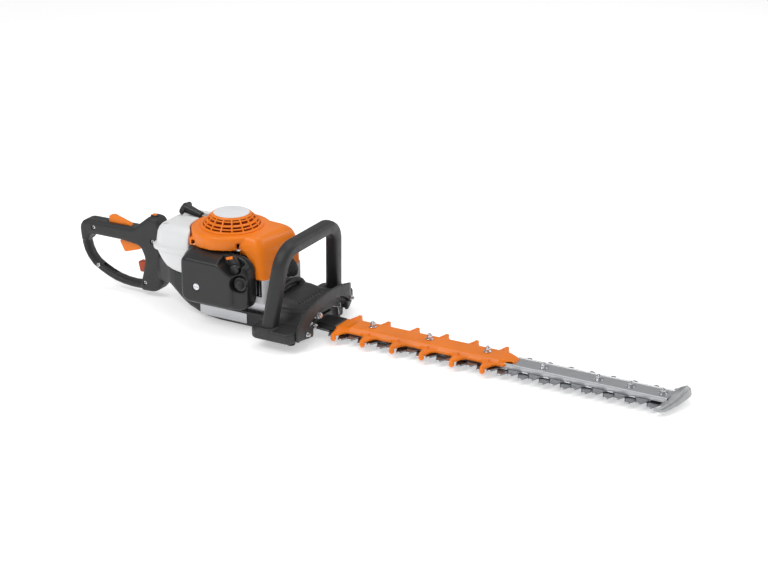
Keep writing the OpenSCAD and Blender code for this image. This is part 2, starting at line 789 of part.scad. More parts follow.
// ---------------------------------------------------------------- rear handle
mast_front = -147;
stop_x = -162;
grip_outer = concat(
  arc(-176, 40, 26, 0, -90), arc(-218, 92, 79, -90, -112, 3), arc(-268, 72, 56, -112, -165, 6),
  arc(-290, 103, 36, 175, 95, 8), arc(-194, 148, 9, -90, -30, 3), [[-175, 154]],
  arc(-162, 150, 13, 115, 20, 5), [[mast_front, 150], [mast_front, 36]]);
grip_inner = concat(
  arc(-186, 44, 9, 0, -80, 4), arc(-224, 94, 59, -80, -110, 4), arc(-250, 76, 41, -112, -160, 4),
  arc(-291, 92, 8, 190, 90, 4), arc(-198, 90, 9.5, 85, 20, 4), [[-177, 70]]);
handle_half = rear_handle_w / 2;
module handle_body() {
  difference() {
    slab(grip_outer, -handle_half, handle_half);
    slab(grip_inner, -30, 30);
    // room inside for the trigger, its lockout and the cable
    block(-270, -10, 102.5, -158, 10, 132);
    block(-256, -5.5, 120, -201, 5.5, 145);
    block(-231, -5.5, 76, -184, 5.5, 105);
    block(-175, -10, 30, -158, 10, 105);
    block(-189, -6, 62, -174, 6, 82);
    post(stop_x, 0, 120, 170, 6.2);
    post(stop_x, 0, 120, 145.4, 8.4);
  }
}
handle_screw_places = [[-290, 115], [-290, 40], [-180, 26], [-163, 112]];
module half_of_handle(side) {
  color(black) difference() {
    intersection() {
      handle_body();
      block(-400, side > 0 ? 0.05 : -100, -10, -100, side > 0 ? 100 : -0.05, 200);
    }
    rod_x(-160, -140, 0, rear_axis_z, 7.2);
    for (p = handle_screw_places) rod_y(p[0], -40, 12, p[1], 2.1);
    for (p = handle_screw_places) rod_y(p[0], -40, -14.4, p[1], 4.2);
  }
  if (side < 0) color(metal) for (p = handle_screw_places) {
    rod_y(p[0], -17.4, -14.4, p[1], 4.15);
    rod_y(p[0], -15, -0.1, p[1], 2.05);
  }
}
module handle_shell_right() {
  half_of_handle(-1);
}
module handle_shell_left() {
  half_of_handle(1);
}
trigger_pivot = [-191, 106];
module throttle_trigger() {
  color(orange) {
    slab([[-229, 104], [-227, 97], [-217, 80.5], [-214, 79.5], [-191, 86], [-187.5, 96],
      [-187.5, 110], [-200, 112]], -5, 5);
    rod_y(trigger_pivot[0], -9.5, 9.5, trigger_pivot[1], 3);
  }
}
lockout_pivot = [-208, 127];
module trigger_lockout() {
  color(orange) {
    slab([[-204, 124], [-203, 133], [-207, 139.5], [-247, 150.5], [-251.5, 149.5], [-250, 134],
      [-243, 128]], -5, 5);
    rod_y(lockout_pivot[0], -9.5, 9.5, lockout_pivot[1], 2.6);
  }
}
module swivel_lock_lever() {
  color([0.75, 0.2, 0.04]) difference() {
    slab([[-192, 66], [-188, 64], [-162, 64], [-162, 78], [-186, 80], [-191, 78]], -5.6, 5.6);
    block(-176, -3, 60, -166, 3, 90);
  }
}
module stop_button() {
  color(black) {
    post(stop_x, 0, 144, 165, 6);
    post(stop_x, 0, 140, 145, 8);
  }
}

engine_base();
gear_housing();
gear_cover();
front_housing();
front_handle();
hand_guard();
handle_screws();
swivel_flange();
rubber_buffers();
rating_plate();
crankcase();
engine_cylinder();
crankshaft();
crank_bearings();
piston();
connecting_rod();
flywheel();
flywheel_nut();
ignition_module();
spark_plug();
plug_boot();
ignition_lead();
top_cover();
badge_disc();
cover_screws();
engine_shroud();
muffler();
muffler_shield();
starter_pulley();
rewind_spring();
starter_rope();
starter_grip();
fuel_tank();
tank_cap();
fuel_line();
carburettor();
filter_base();
air_filter();
filter_cover();
filter_screw();
primer_bulb();
choke_knob();
throttle_cable();
clutch_shoes();
clutch_drum();
drive_gear();
drive_bearings();
upper_blade();
lower_blade();
guide_bar();
bar_holder();
bar_bolts();
finger_guard();
tip_guard();
handle_shell_right();
handle_shell_left();
throttle_trigger();
trigger_lockout();
swivel_lock_lever();
stop_button();
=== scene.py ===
import json
import math
import bmesh
import bpy
from mathutils import Matrix, Vector


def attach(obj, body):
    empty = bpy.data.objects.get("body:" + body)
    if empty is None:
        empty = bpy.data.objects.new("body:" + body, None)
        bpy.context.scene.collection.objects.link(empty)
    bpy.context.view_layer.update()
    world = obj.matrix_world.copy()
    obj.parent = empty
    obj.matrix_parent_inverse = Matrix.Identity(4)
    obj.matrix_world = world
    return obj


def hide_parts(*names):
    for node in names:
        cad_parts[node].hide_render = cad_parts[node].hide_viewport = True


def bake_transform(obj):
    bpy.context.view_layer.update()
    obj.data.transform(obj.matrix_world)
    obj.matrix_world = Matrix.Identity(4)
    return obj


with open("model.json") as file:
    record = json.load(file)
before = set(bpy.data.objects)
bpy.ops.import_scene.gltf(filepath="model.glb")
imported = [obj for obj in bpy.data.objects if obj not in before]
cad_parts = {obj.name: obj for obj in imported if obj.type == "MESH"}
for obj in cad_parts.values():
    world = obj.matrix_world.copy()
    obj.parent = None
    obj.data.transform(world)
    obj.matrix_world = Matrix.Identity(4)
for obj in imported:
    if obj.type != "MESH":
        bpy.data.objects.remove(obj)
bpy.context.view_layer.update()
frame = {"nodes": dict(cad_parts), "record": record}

NODES = frame["nodes"]
MM = 0.001


# ---- mesh tools
def new_object(name, data):
    piece = bpy.data.objects.new(name, data)
    bpy.context.scene.collection.objects.link(piece)
    return piece


def from_points(name, points, faces):
    """A mesh object from points in millimetres."""
    mesh = bpy.data.meshes.new(name)
    mesh.from_pydata([(x * MM, y * MM, z * MM) for x, y, z in points], [], faces)
    mesh.update()
    return new_object(name, mesh)


def tidy_normals(piece):
    work = bmesh.new()
    work.from_mesh(piece.data)
    bmesh.ops.remove_doubles(work, verts=work.verts, dist=0.00001)
    bmesh.ops.recalc_face_normals(work, faces=work.faces)
    work.to_mesh(piece.data)
    work.free()
    return piece


def loft(name, rings):
    """Joins rings with the same number of points, and caps both ends."""
    count = len(rings[0])
    points = [p for ring in rings for p in ring]
    faces = []
    for i in range(len(rings) - 1):
        for k in range(count):
            a, b = i * count + k, i * count + (k + 1) % count
            faces.append((a, b, b + count, a + count))
    faces.append(tuple(range(count - 1, -1, -1)))
    faces.append(tuple((len(rings) - 1) * count + k for k in range(count)))
    return tidy_normals(from_points(name, points, faces))


def arc(cx, cy, radius, start, end, steps):
    """Points on an arc in a plane; angles are in degrees."""
    angles = [math.radians(start + (end - start) * i / steps) for i in range(steps + 1)]
    return [(cx + radius * math.cos(a), cy + radius * math.sin(a)) for a in angles]


def rounded_box(x0, y0, x1, y1, radius, steps=8):
    return (
        arc(x1 - radius, y1 - radius, radius, 0, 90, steps)
        + arc(x0 + radius, y1 - radius, radius, 90, 180, steps)
        + arc(x0 + radius, y0 + radius, radius, 180, 270, steps)
        + arc(x1 - radius, y0 + radius, radius, 270, 360, steps)
    )


def round_corners(corners, steps):
    """An outline from (x, y, radius) corners, with each corner turned into an arc."""
    outline = []
    for i, (x, y, radius) in enumerate(corners):
        here = Vector((x, y))
        before = Vector(corners[i - 1][:2]) - here
        after = Vector(corners[(i + 1) % len(corners)][:2]) - here
        half = before.angle(after) / 2
        if radius <= 0 or abs(half - math.pi / 2) < 0.01:
            outline.append((x, y))
            continue
        reach = min(radius / math.tan(half), before.length * 0.49, after.length * 0.49)
        radius = reach * math.tan(half)
        start, end = here + before.normalized() * reach, here + after.normalized() * reach
        centre = here + (before.normalized() + after.normalized()).normalized() * (radius / math.sin(half))
        first = math.atan2(*reversed(start - centre))
        turn = math.remainder(math.atan2(*reversed(end - centre)) - first, math.tau)
        for k in range(steps + 1):
            a = first + turn * k / steps
            outline.append((centre.x + radius * math.cos(a), centre.y + radius * math.sin(a)))
    return outline


def inset(outline, amount):
    """The outline moved inwards; it must run anticlockwise."""
    count = len(outline)
    moved = []
    for i, point in enumerate(outline):
        before = Vector(point) - Vector(outline[i - 1])
        after = Vector(outline[(i + 1) % count]) - Vector(point)
        if before.length < 1e-6:
            before = after
        if after.length < 1e-6:
            after = before
        n1 = Vector((-before.y, before.x)).normalized()
        n2 = Vector((-after.y, after.x)).normalized()
        mid = n1 + n2
        scale = amount / max(mid.length_squared / 2, 0.5)
        moved.append((point[0] + mid.x * scale, point[1] + mid.y * scale))
    return moved


def corner_box(x0, y0, x1, y1, radius):
    """A rectangle as (x, y, radius) corners."""
    return [(x0, y0, radius), (x1, y0, radius), (x1, y1, radius), (x0, y1, radius)]


def shrink_corners(corners, amount):
    """Anticlockwise (x, y, radius) corners moved inwards, with the radii kept concentric."""
    moved = []
    for i, (x, y, radius) in enumerate(corners):
        before = (Vector((x, y)) - Vector(corners[i - 1][:2])).normalized()
        after = (Vector(corners[(i + 1) % len(corners)][:2]) - Vector((x, y))).normalized()
        mid = Vector((-before.y - after.y, before.x + after.x))
        scale = amount / (mid.length_squared / 2)
        if before.cross(after) > 0:
            radius = radius and max(radius - amount, 0.05)
        else:
            radius = radius and radius + amount
        moved.append((x + mid.x * scale, y + mid.y * scale, radius))
    return moved


def anticlockwise(outline):
    area = sum(a[0] * b[1] - b[0] * a[1] for a, b in zip(outline, outline[1:] + outline[:1]))
    return outline if area > 0 else outline[::-1]


PLACE = {
    "x": lambda a, b, t: (t, a, b),
    "y": lambda a, b, t: (a, t, b),
    "z": lambda a, b, t: (a, b, t),
}


def section(axis, place, corners, steps):
    """A ring of points at a place along an axis, from rounded corners."""
    return [PLACE[axis](a, b, place) for a, b in round_corners(corners, steps)]


def slab(name, outline, low, high, axis="y", edge=0.0, steps=4, low_edge=None):
    """An outline, or a list of rounded corners, given thickness along an axis, with rounded rims."""
    outline = anticlockwise(outline)
    cornered = len(outline[0]) == 3
    low_edge = edge if low_edge is None else low_edge
    levels = []
    if low_edge:
        levels = [(low + low_edge * (1 - math.cos(math.pi / 2 * i / steps)),
            low_edge * (1 - math.sin(math.pi / 2 * i / steps))) for i in range(steps + 1)]
    else:
        levels.append((low, 0.0))
    if edge:
        levels += [(high - edge * (1 - math.sin(math.pi / 2 * i / steps)),
            edge * (1 - math.cos(math.pi / 2 * i / steps))) for i in range(steps + 1)]
    else:
        levels.append((high, 0.0))
    rings = []
    for t, amount in levels:
        if cornered:
            ring = round_corners(shrink_corners(outline, amount), 7)
        else:
            ring = inset(outline, amount) if amount else outline
        rings.append([PLACE[axis](a, b, t) for a, b in ring])
    return loft(name, rings)


def revolve(name, profile, centre=(0, 0, 0), axis="z", steps=48):
    """Turns (radius, height) points round an axis through a centre."""
    points = []
    for a in (math.tau * i / steps for i in range(steps)):
        for radius, height in profile:
            offset = PLACE[axis](radius * math.cos(a), radius * math.sin(a), height)
            points.append(tuple(c + o for c, o in zip(centre, offset)))
    count = len(profile)
    faces = []
    for i in range(steps):
        for k in range(count - 1):
            a, b = i * count + k, ((i + 1) % steps) * count + k
            faces.append((a, b, b + 1, a + 1))
    for k, (radius, _) in ((0, profile[0]), (count - 1, profile[-1])):
        if radius > 0.01:
            faces.append(tuple(i * count + k for i in range(steps)))
    return tidy_normals(from_points(name, points, faces))


def rod(name, radius, low, high, centre=(0, 0, 0), axis="z", steps=48):
    return revolve(name, [(0, low), (radius, low), (radius, high), (0, high)], centre, axis, steps)


def superellipse(power, sides):
    """The reach of a rounded square of half-width 1 at each side's angle."""
    return [1 / (abs(math.cos(a)) ** power + abs(math.sin(a)) ** power) ** (1 / power)
        for a in (math.tau * k / sides for k in range(sides))]


def tube(name, path, radius, sides, flatten=1.0, side_way=(0, 0, 1), power=None):
    """A tube along a path; radius is one number or one for each point, and power makes it squarer."""
    rings = []
    path = [Vector(p) for p in path]
    reach = superellipse(power, sides) if power else [1.0] * sides
    for i, point in enumerate(path):
        along = (path[min(i + 1, len(path) - 1)] - path[max(i - 1, 0)]).normalized()
        side = Vector(side_way)
        side = (side - side.dot(along) * along).normalized()
        other = along.cross(side)
        r = radius[i] if isinstance(radius, list) else radius
        rings.append([tuple(point + side * (r * reach[k] * flatten * math.cos(math.tau * k / sides))
            + other * (r * reach[k] * math.sin(math.tau * k / sides))) for k in range(sides)])
    return loft(name, rings)


def bake(piece):
    """Makes a piece's modifiers permanent."""
    dg = bpy.context.evaluated_depsgraph_get()
    mesh = bpy.data.meshes.new_from_object(piece.evaluated_get(dg))
    old = piece.data
    piece.modifiers.clear()
    piece.data = mesh
    bpy.data.meshes.remove(old)
    return piece


def combine(piece, others, how):
    """Boolean of a piece with others, which are used up."""
    for other in others:
        modifier = piece.modifiers.new("combine", "BOOLEAN")
        modifier.operation = how
        modifier.solver = "EXACT"
        modifier.object = other
        bake(piece)
        bpy.data.objects.remove(other)
    return piece


def cut(piece, *others):
    return combine(piece, others, "DIFFERENCE")


def add(piece, *others):
    return combine(piece, others, "UNION")


def common(piece, *others):
    return combine(piece, others, "INTERSECT")


def join(name, pieces):
    """One object from several, with no boolean."""
    work = bmesh.new()
    for piece in pieces:
        work.from_mesh(piece.data)
        bpy.data.objects.remove(piece)
    mesh = bpy.data.meshes.new(name)
    work.to_mesh(mesh)
    work.free()
    return new_object(name, mesh)


def melt(piece, voxel, passes):
    """Rounds every edge of a moulding: a fine remesh, then smoothing."""
    remesh = piece.modifiers.new("remesh", "REMESH")
    remesh.mode = "VOXEL"
    remesh.voxel_size = voxel * MM
    smooth = piece.modifiers.new("smooth", "SMOOTH")
    smooth.factor = 0.5
    smooth.iterations = passes
    bake(piece)
    for face in piece.data.polygons:
        face.use_smooth = True
    return piece


def soften(piece, width, angle):
    """A small radius on sharp edges, and smooth shading over the rest."""
    bevel = piece.modifiers.new("bevel", "BEVEL")
    bevel.width = width * MM
    bevel.segments = 2
    bevel.limit_method = "ANGLE"
    bevel.angle_limit = math.radians(angle)
    for face in piece.data.polygons:
        face.use_smooth = True
    weighted = piece.modifiers.new("normals", "WEIGHTED_NORMAL")
    weighted.keep_sharp = True
    return piece


def smooth_over(piece, angle=35):
    """Smooth shading with the edges above an angle kept sharp."""
    mesh = piece.data
    work = bmesh.new()
    work.from_mesh(mesh)
    for face in work.faces:
        face.smooth = True
    for edge in work.edges:
        if len(edge.link_faces) == 2 and edge.calc_face_angle(0) > math.radians(angle):
            edge.smooth = False
    work.to_mesh(mesh)
    work.free()
    return piece


def box(name, x0, y0, z0, x1, y1, z1):
    return slab(name, [(x0, z0), (x1, z0), (x1, z1), (x0, z1)], y0, y1)


# ---- materials
def shader(name):
    material = bpy.data.materials.new(name)
    material.use_nodes = True
    tree = material.node_tree
    return material, tree, tree.nodes["Principled BSDF"]


def put(tree, kind, **inputs):
    node = tree.nodes.new(kind)
    for key, value in inputs.items():
        node.inputs[key.replace("_", " ")].default_value = value
    return node


def noise(tree, scale, detail, stretch=None, roughness=0.5):
    """Noise in the object's own coordinates, in features per metre."""
    place = tree.nodes.new("ShaderNodeTexCoord")
    source = put(tree, "ShaderNodeTexNoise", Scale=scale, Detail=detail, Roughness=roughness)
    if stretch:
        mapping = tree.nodes.new("ShaderNodeMapping")
        mapping.inputs["Scale"].default_value = stretch
        tree.links.new(place.outputs["Object"], mapping.inputs["Vector"])
        tree.links.new(mapping.outputs["Vector"], source.inputs["Vector"])
    else:
        tree.links.new(place.outputs["Object"], source.inputs["Vector"])
    return source.outputs["Fac"]


def ramp(tree, value, stops):
    node = tree.nodes.new("ShaderNodeValToRGB")
    elements = node.color_ramp.elements
    while len(elements) < len(stops):
        elements.new(0.5)
    for element, (position, colour) in zip(elements, stops):
        element.position = position
        element.color = (*colour, 1) if len(colour) == 3 else colour
    tree.links.new(value, node.inputs["Fac"])
    return node.outputs["Color"]


def grey(level):
    return (level, level, level)


def mix(tree, factor, a, b):
    node = tree.nodes.new("ShaderNodeMix")
    node.data_type = "RGBA"
    tree.links.new(factor, node.inputs["Factor"])
    for socket, value in ((node.inputs[6], a), (node.inputs[7], b)):
        if isinstance(value, tuple):
            socket.default_value = (*value, 1)
        else:
            tree.links.new(value, socket)
    return node.outputs[2]


def bump(tree, target, height, strength, distance):
    node = put(tree, "ShaderNodeBump", Strength=strength, Distance=distance)
    tree.links.new(height, node.inputs["Height"])
    tree.links.new(node.outputs["Normal"], target.inputs["Normal"])


def edge_mask(tree):
    """White along convex edges, from the mesh's own curvature."""
    geometry = tree.nodes.new("ShaderNodeNewGeometry")
    return ramp(tree, geometry.outputs["Pointiness"], [(0.52, grey(0)), (0.6, grey(1))])


def shade(colour, factor):
    return tuple(min(c * factor, 1) for c in colour)


def moulded(name, colour, rough, grain, depth, wear=0.35, light=1.5, coat=0.0, shine=0.4):
    """Injection-moulded plastic: fine grain, faint flow marks, and lighter rubbed edges."""
    material, tree, main = shader(name)
    flow = noise(tree, 14, 3)
    body = ramp(tree, flow, [(0.3, shade(colour, 0.9)), (0.7, shade(colour, 1.08))])
    edges = edge_mask(tree)
    scuffs = ramp(tree, noise(tree, 180, 6), [(0.45, grey(0)), (0.62, grey(wear))])
    rubbed = mix(tree, scuffs, (0.0, 0.0, 0.0), edges)
    lighter = tuple(min(c * light + 0.02, 1) for c in colour)
    tree.links.new(mix(tree, rubbed, body, lighter), main.inputs["Base Color"])
    patches = ramp(tree, noise(tree, 60, 5), [(0.35, grey(rough - 0.05)), (0.7, grey(rough + 0.07))])
    tree.links.new(patches, main.inputs["Roughness"])
    bump(tree, main, noise(tree, grain, 2), 0.35, depth)
    main.inputs["Specular IOR Level"].default_value = shine
    if coat:
        main.inputs["Coat Weight"].default_value = coat
        main.inputs["Coat Roughness"].default_value = 0.15
    return material


def brushed(name, colour, rough, stretch=(4, 260, 260)):
    """Metal with fine lines along X and a little staining."""
    material, tree, main = shader(name)
    lines = noise(tree, 22, 5, stretch)
    cloud = noise(tree, 35, 6)
    base = ramp(tree, lines, [(0.3, shade(colour, 0.82)), (0.7, colour)])
    spots = ramp(tree, cloud, [(0.5, grey(0)), (0.75, grey(0.15))])
    tree.links.new(mix(tree, spots, base, shade(colour, 0.55)), main.inputs["Base Color"])
    tree.links.new(ramp(tree, lines, [(0.25, grey(rough - 0.06)), (0.75, grey(rough + 0.1))]),
        main.inputs["Roughness"])
    main.inputs["Metallic"].default_value = 1.0
    bump(tree, main, lines, 0.12, 0.0002)
    return material


def cast(name, colour, rough=0.5):
    """Sand- or die-cast metal: pitted skin with brighter edges."""
    material, tree, main = shader(name)
    pits = noise(tree, 900, 5, roughness=0.6)
    base = ramp(tree, noise(tree, 45, 5), [(0.3, shade(colour, 0.85)), (0.7, shade(colour, 1.08))])
    tree.links.new(mix(tree, edge_mask(tree), base, shade(colour, 1.5)), main.inputs["Base Color"])
    tree.links.new(ramp(tree, pits, [(0.3, grey(rough + 0.08)), (0.7, grey(rough - 0.05))]),
        main.inputs["Roughness"])
    main.inputs["Metallic"].default_value = 1.0
    bump(tree, main, pits, 0.5, 0.00025)
    return material


def milky(name, colour):
    """Translucent blow-moulded tank plastic."""
    material, tree, main = shader(name)
    base = ramp(tree, noise(tree, 12, 3), [(0.3, shade(colour, 0.96)), (0.7, colour)])
    tree.links.new(base, main.inputs["Base Color"])
    tree.links.new(ramp(tree, noise(tree, 50, 4), [(0.3, grey(0.34)), (0.7, grey(0.44))]),
        main.inputs["Roughness"])
    main.inputs["Subsurface Weight"].default_value = 0.25
    main.inputs["Subsurface Radius"].default_value = (0.006, 0.006, 0.006)
    bump(tree, main, noise(tree, 700, 3), 0.25, 0.00008)
    return material


def woven(name, colour, scale=900):
    """Felt or braid: crossed threads."""
    material, tree, main = shader(name)
    threads = noise(tree, scale, 6)
    base = ramp(tree, threads, [(0.3, shade(colour, 0.6)), (0.7, colour)])
    tree.links.new(base, main.inputs["Base Color"])
    main.inputs["Roughness"].default_value = 0.9
    bump(tree, main, threads, 0.8, 0.0004)
    return material


LOOKS = {name: make(name, *values) for name, make, *values in (
    ("black_plastic", moulded, (0.027, 0.0275, 0.0285), 0.46, 2200, 0.00008),
    ("black_satin", moulded, (0.02, 0.0205, 0.0215), 0.33, 2600, 0.00004),
    ("orange_plastic", moulded, (0.93, 0.22, 0.006), 0.36, 3000, 0.00002, 0.2, 1.1, 0.08, 0.32),
    ("lever_orange", moulded, (0.4, 0.05, 0.006), 0.35, 3000, 0.00002, 0.2, 1.2),
    ("grey_plastic", moulded, (0.6, 0.61, 0.62), 0.4, 2600, 0.00004, 0.3, 1.15),
    ("tank_plastic", milky, (0.82, 0.83, 0.835)),
    ("label_silver", brushed, (0.62, 0.63, 0.65), 0.4),
    ("badge_white", moulded, (0.84, 0.85, 0.86), 0.32, 3000, 0.00001, 0.1, 1.05),
    ("cast_alloy", cast, (0.5, 0.51, 0.53)),
    ("bar_alloy", brushed, (0.62, 0.63, 0.645), 0.36),
    ("blade_steel", brushed, (0.36, 0.37, 0.385), 0.34, (260, 6, 260)),
    ("machined_steel", brushed, (0.5, 0.51, 0.54), 0.28),
    ("screw_steel", brushed, (0.75, 0.76, 0.79), 0.22, (160, 160, 8)),
    ("tip_alloy", cast, (0.42, 0.43, 0.44), 0.48),
    ("soft_rubber", moulded, (0.025, 0.025, 0.027), 0.62, 1400, 0.0001),
    ("filter_felt", woven, (0.7, 0.66, 0.55)),
    ("rope_fibre", woven, (0.62, 0.62, 0.57), 1800),
)}


def dress(piece, slot, *nodes, body="machine"):
    """Gives a new piece its finish and its body, and hides the nodes it stands for."""
    piece.data.materials.clear()
    piece.data.materials.append(LOOKS[slot])
    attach(piece, body)
    if nodes:
        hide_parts(*nodes)
    return piece


SLOT_OF = {entry["node"]: entry["material_slot"] for entry in frame["record"]["subparts"]}
for node_name, node_object in NODES.items():
    look = LOOKS[SLOT_OF[node_name]]
    if not node_object.material_slots:
        node_object.data.materials.append(look)
    for material_slot in node_object.material_slots:
        material_slot.material = look

# ---- stage
def lay_floor():
    points = [(-9000, -9000, -0.2), (9000, -9000, -0.2), (9000, 9000, -0.2), (-9000, 9000, -0.2)]
    floor = from_points("floor", points, [(0, 1, 2, 3)])
    material, tree, main = shader("floor")
    tone = ramp(tree, noise(tree, 2, 2), [(0.3, grey(0.93)), (0.7, grey(0.95))])
    tree.links.new(tone, main.inputs["Base Color"])
    main.inputs["Roughness"].default_value = 0.9
    main.inputs["Specular IOR Level"].default_value = 0.1
    main.inputs["Emission Color"].default_value = (1, 1, 1, 1)
    main.inputs["Emission Strength"].default_value = 0.42
    floor.data.materials.append(material)


def area_light(name, place, target, size, power):
    light = bpy.data.lights.new(name, "AREA")
    light.shape = "RECTANGLE"
    light.size, light.size_y = size
    light.energy = power
    lamp = new_object(name, light)
    lamp.location = place
    lamp.rotation_mode = "QUATERNION"
    lamp.rotation_quaternion = (Vector(target) - Vector(place)).to_track_quat("-Z", "Y")


def set_stage():
    lay_floor()
    world = bpy.data.worlds.new("studio")
    bpy.context.scene.world = world
    world.use_nodes = True
    sky = world.node_tree.nodes["Background"].inputs
    sky["Color"].default_value = (1, 1, 1, 1)
    sky["Strength"].default_value = 0.42
    middle = (0.25, 0, 0.08)
    area_light("key", (-0.6, -1.6, 2.2), middle, (1.6, 1.2), 27)
    area_light("top", (0.4, 0.6, 2.6), middle, (2.4, 1.6), 19)
    area_light("rim", (1.6, 1.6, 1.2), middle, (1.2, 0.8), 9)
    lens = bpy.data.cameras.new("camera")
    lens.lens = 100.06
    lens.sensor_width = 36
    lens.clip_end = 50
    camera = new_object("camera", lens)
    azimuth, elevation, distance = math.radians(29.41), math.radians(21.38), 3.6185
    back = Vector((math.sin(azimuth) * math.cos(elevation), -math.cos(azimuth) * math.cos(elevation),
        math.sin(elevation)))
    camera.location = Vector((0.30566, 0, 0.10297)) + back * distance
    camera.rotation_mode = "QUATERNION"
    camera.rotation_quaternion = (-back).to_track_quat("-Z", "Y")
    bpy.context.scene.camera = camera
    bpy.context.scene.view_settings.view_transform = "Standard"


set_stage()


# ---- rear handle
HANDLE_HALF = 17.0
SWIVEL_AXIS = (0, 0, 60)


def torx_screw(name, x, y, z, radius, axis):
    """A pan-head screw with a six-lobed socket, facing -Y or +Z."""
    lobes = []
    for i in range(36):
        a = math.tau * i / 36
        r = radius * (0.46 + 0.09 * math.cos(6 * a))
        lobes.append((r * math.cos(a), r * math.sin(a)))
    head = revolve(name, [(0, -2.2), (radius, -2.2), (radius, -0.4), (radius * 0.93, 0.15),
        (radius * 0.72, 0.55), (0.0, 0.62)], steps=32)
    socket = loft(name + "_socket", [[(a, b, t) for a, b in lobes] for t in (-1.3, 2)])
    cut(head, socket)
    turn = Matrix.Rotation(math.pi / 2, 4, "X") if axis == "y" else Matrix.Identity(4)
    head.data.transform(Matrix.Translation((x * MM, y * MM, z * MM)) @ turn)
    return smooth_over(head, 30)


HANDLE_SCREWS = [(-291, 113, -14.6), (-289.5, 38, -9.4), (-181, 26, -14.6), (-161, 108, -14.6)]
HANDLE_BODY = [(-325.6, 125, 34), (-203, 126.5, 16), (-169, 153.5, 12), (-149.5, 152, 13), (-143, 134, 12),
    (-143, 11, 36), (-196, 8.5, 8), (-186, 44, 24), (-180, 72, 24), (-190, 94, 16), (-232, 98.5, 30),
    (-301, 98.5, 14), (-309.5, 82, 6), (-320.6, 82, 6)]
LOOP_PATH = [(-304, 110), (-311, 106), (-316.5, 99), (-318, 90), (-317.4, 78), (-314, 65), (-307, 52),
    (-297, 41), (-283, 33), (-268, 26), (-251, 20), (-233, 16.5), (-214, 15.2), (-196, 16), (-182, 18)]


def handle_blank():
    blank = slab("handle", HANDLE_BODY, -HANDLE_HALF, HANDLE_HALF, "y", 7.5, 6)
    path = [(x, 0, z) for x, z in LOOP_PATH]
    thickness = [9.0, 8.4, 7.8, 7.5, 7.4, 7.3, 7.2, 7.2, 7.2, 7.2, 7.2, 7.2, 7.4, 7.8, 8.4]
    loop = tube("loop", path, thickness, 32, 1.62, (0, 1, 0))
    add(blank, loop)
    melt(blank, 1.15, 5)
    recess = rod("recess", 28.3, -146.2, -120, SWIVEL_AXIS, "x")
    cut(blank, recess)
    slots = [
        box("trigger_slot", -236, -6, 80, -186, 6, 118),
        box("lockout_slot", -266, -6, 109, -214, 6, 150),
        slab("button_slot", rounded_box(-171.6, -7.1, -156.4, 7.1, 4.4), 138, 170, "z"),
        box("lever_slot", -200, -6.8, 40, -160, 6.8, 64),
        slab("drain_slot", [(-287, 22, 2), (-258, 12, 2), (-250, 40, 2), (-279, 52, 2)], -4, 4),
    ]
    return cut(blank, *slots)


def make_rear_handle():
    blank = handle_blank()
    for side, node in ((-1, "handle_shell_right"), (1, "handle_shell_left")):
        half = new_object(node + "_skin", blank.data.copy())
        low, high = (-30, -0.14) if side < 0 else (0.14, 30)
        common(half, box("half_space", -400, low, -50, -100, high, 250))
        if side < 0:
            for x, z, y in HANDLE_SCREWS:
                cut(half, revolve("bore",
                    [(0, -20), (4.9, -20), (4.5, y - 0.4), (4.4, y + 0.8), (0, y + 0.8)],
                    (x, 0, z), "y", 32))
        dress(smooth_over(half, 42), "black_plastic", node, body="rear_handle")
    bpy.data.objects.remove(blank)
    screws = [torx_screw("handle_screw", x, y, z, 4.1, "y") for x, z, y in HANDLE_SCREWS]
    dress(join("handle_shell_screws", screws), "screw_steel", body="rear_handle")


def make_handle_controls():
    trigger = slab("trigger_skin", [(-241, 92, 2), (-231, 73, 4), (-199, 83, 4), (-187, 92, 3),
        (-187, 110, 2), (-205, 112, 2), (-236, 103, 2)], -5.4, 5.4, "y", 1.8)
    dress(smooth_over(trigger), "orange_plastic", "throttle_trigger", body="trigger")
    lockout = slab("lockout_skin", [(-263.5, 122, 1), (-262.5, 138, 3), (-254, 139.5, 3), (-220, 129.5, 6),
        (-215.5, 126, 1), (-215.5, 120, 1)], -5.4, 5.4, "y", 1.4)
    dress(smooth_over(lockout), "orange_plastic", "trigger_lockout", body="lockout")
    lever = slab("lock_lever_skin", [(-202, 61, 3), (-197.5, 41.5, 3), (-176, 42, 1), (-176, 63, 1)],
        -6.2, 6.2, "y", 1.4)
    ridges = [box("ridge", -206, -4.5, 45.5 + 3.8 * i, -201.5 - 0.9 * i, 4.5, 47 + 3.8 * i) for i in range(4)]
    dress(smooth_over(cut(lever, *ridges)), "lever_orange", "swivel_lock_lever", body="swivel_lock")
    button = slab("stop_button_skin", rounded_box(-171, -6.5, -157, 6.5, 4), 143, 155, "z", 2)
    dress(smooth_over(button), "black_satin", "stop_button", body="stop_switch")
    mark = slab("stop_mark", rounded_box(-169.4, -4.8, -159.6, 2.4, 1.5), 154.6, 155.4, "z", 0.3)
    dress(smooth_over(mark), "orange_plastic", body="stop_switch")


make_rear_handle()
make_handle_controls()


# ---- front handle
FRONT_BAR_Z, FRONT_FOOT_Y, FOOT_Z, LEG_TILT, CORNER_R = 169.0, 111.0, 20.0, 9.7, 38.0
HANDLE_X, HANDLE_LEAN, LEVEL_Z = 140, 0.11, 12.3


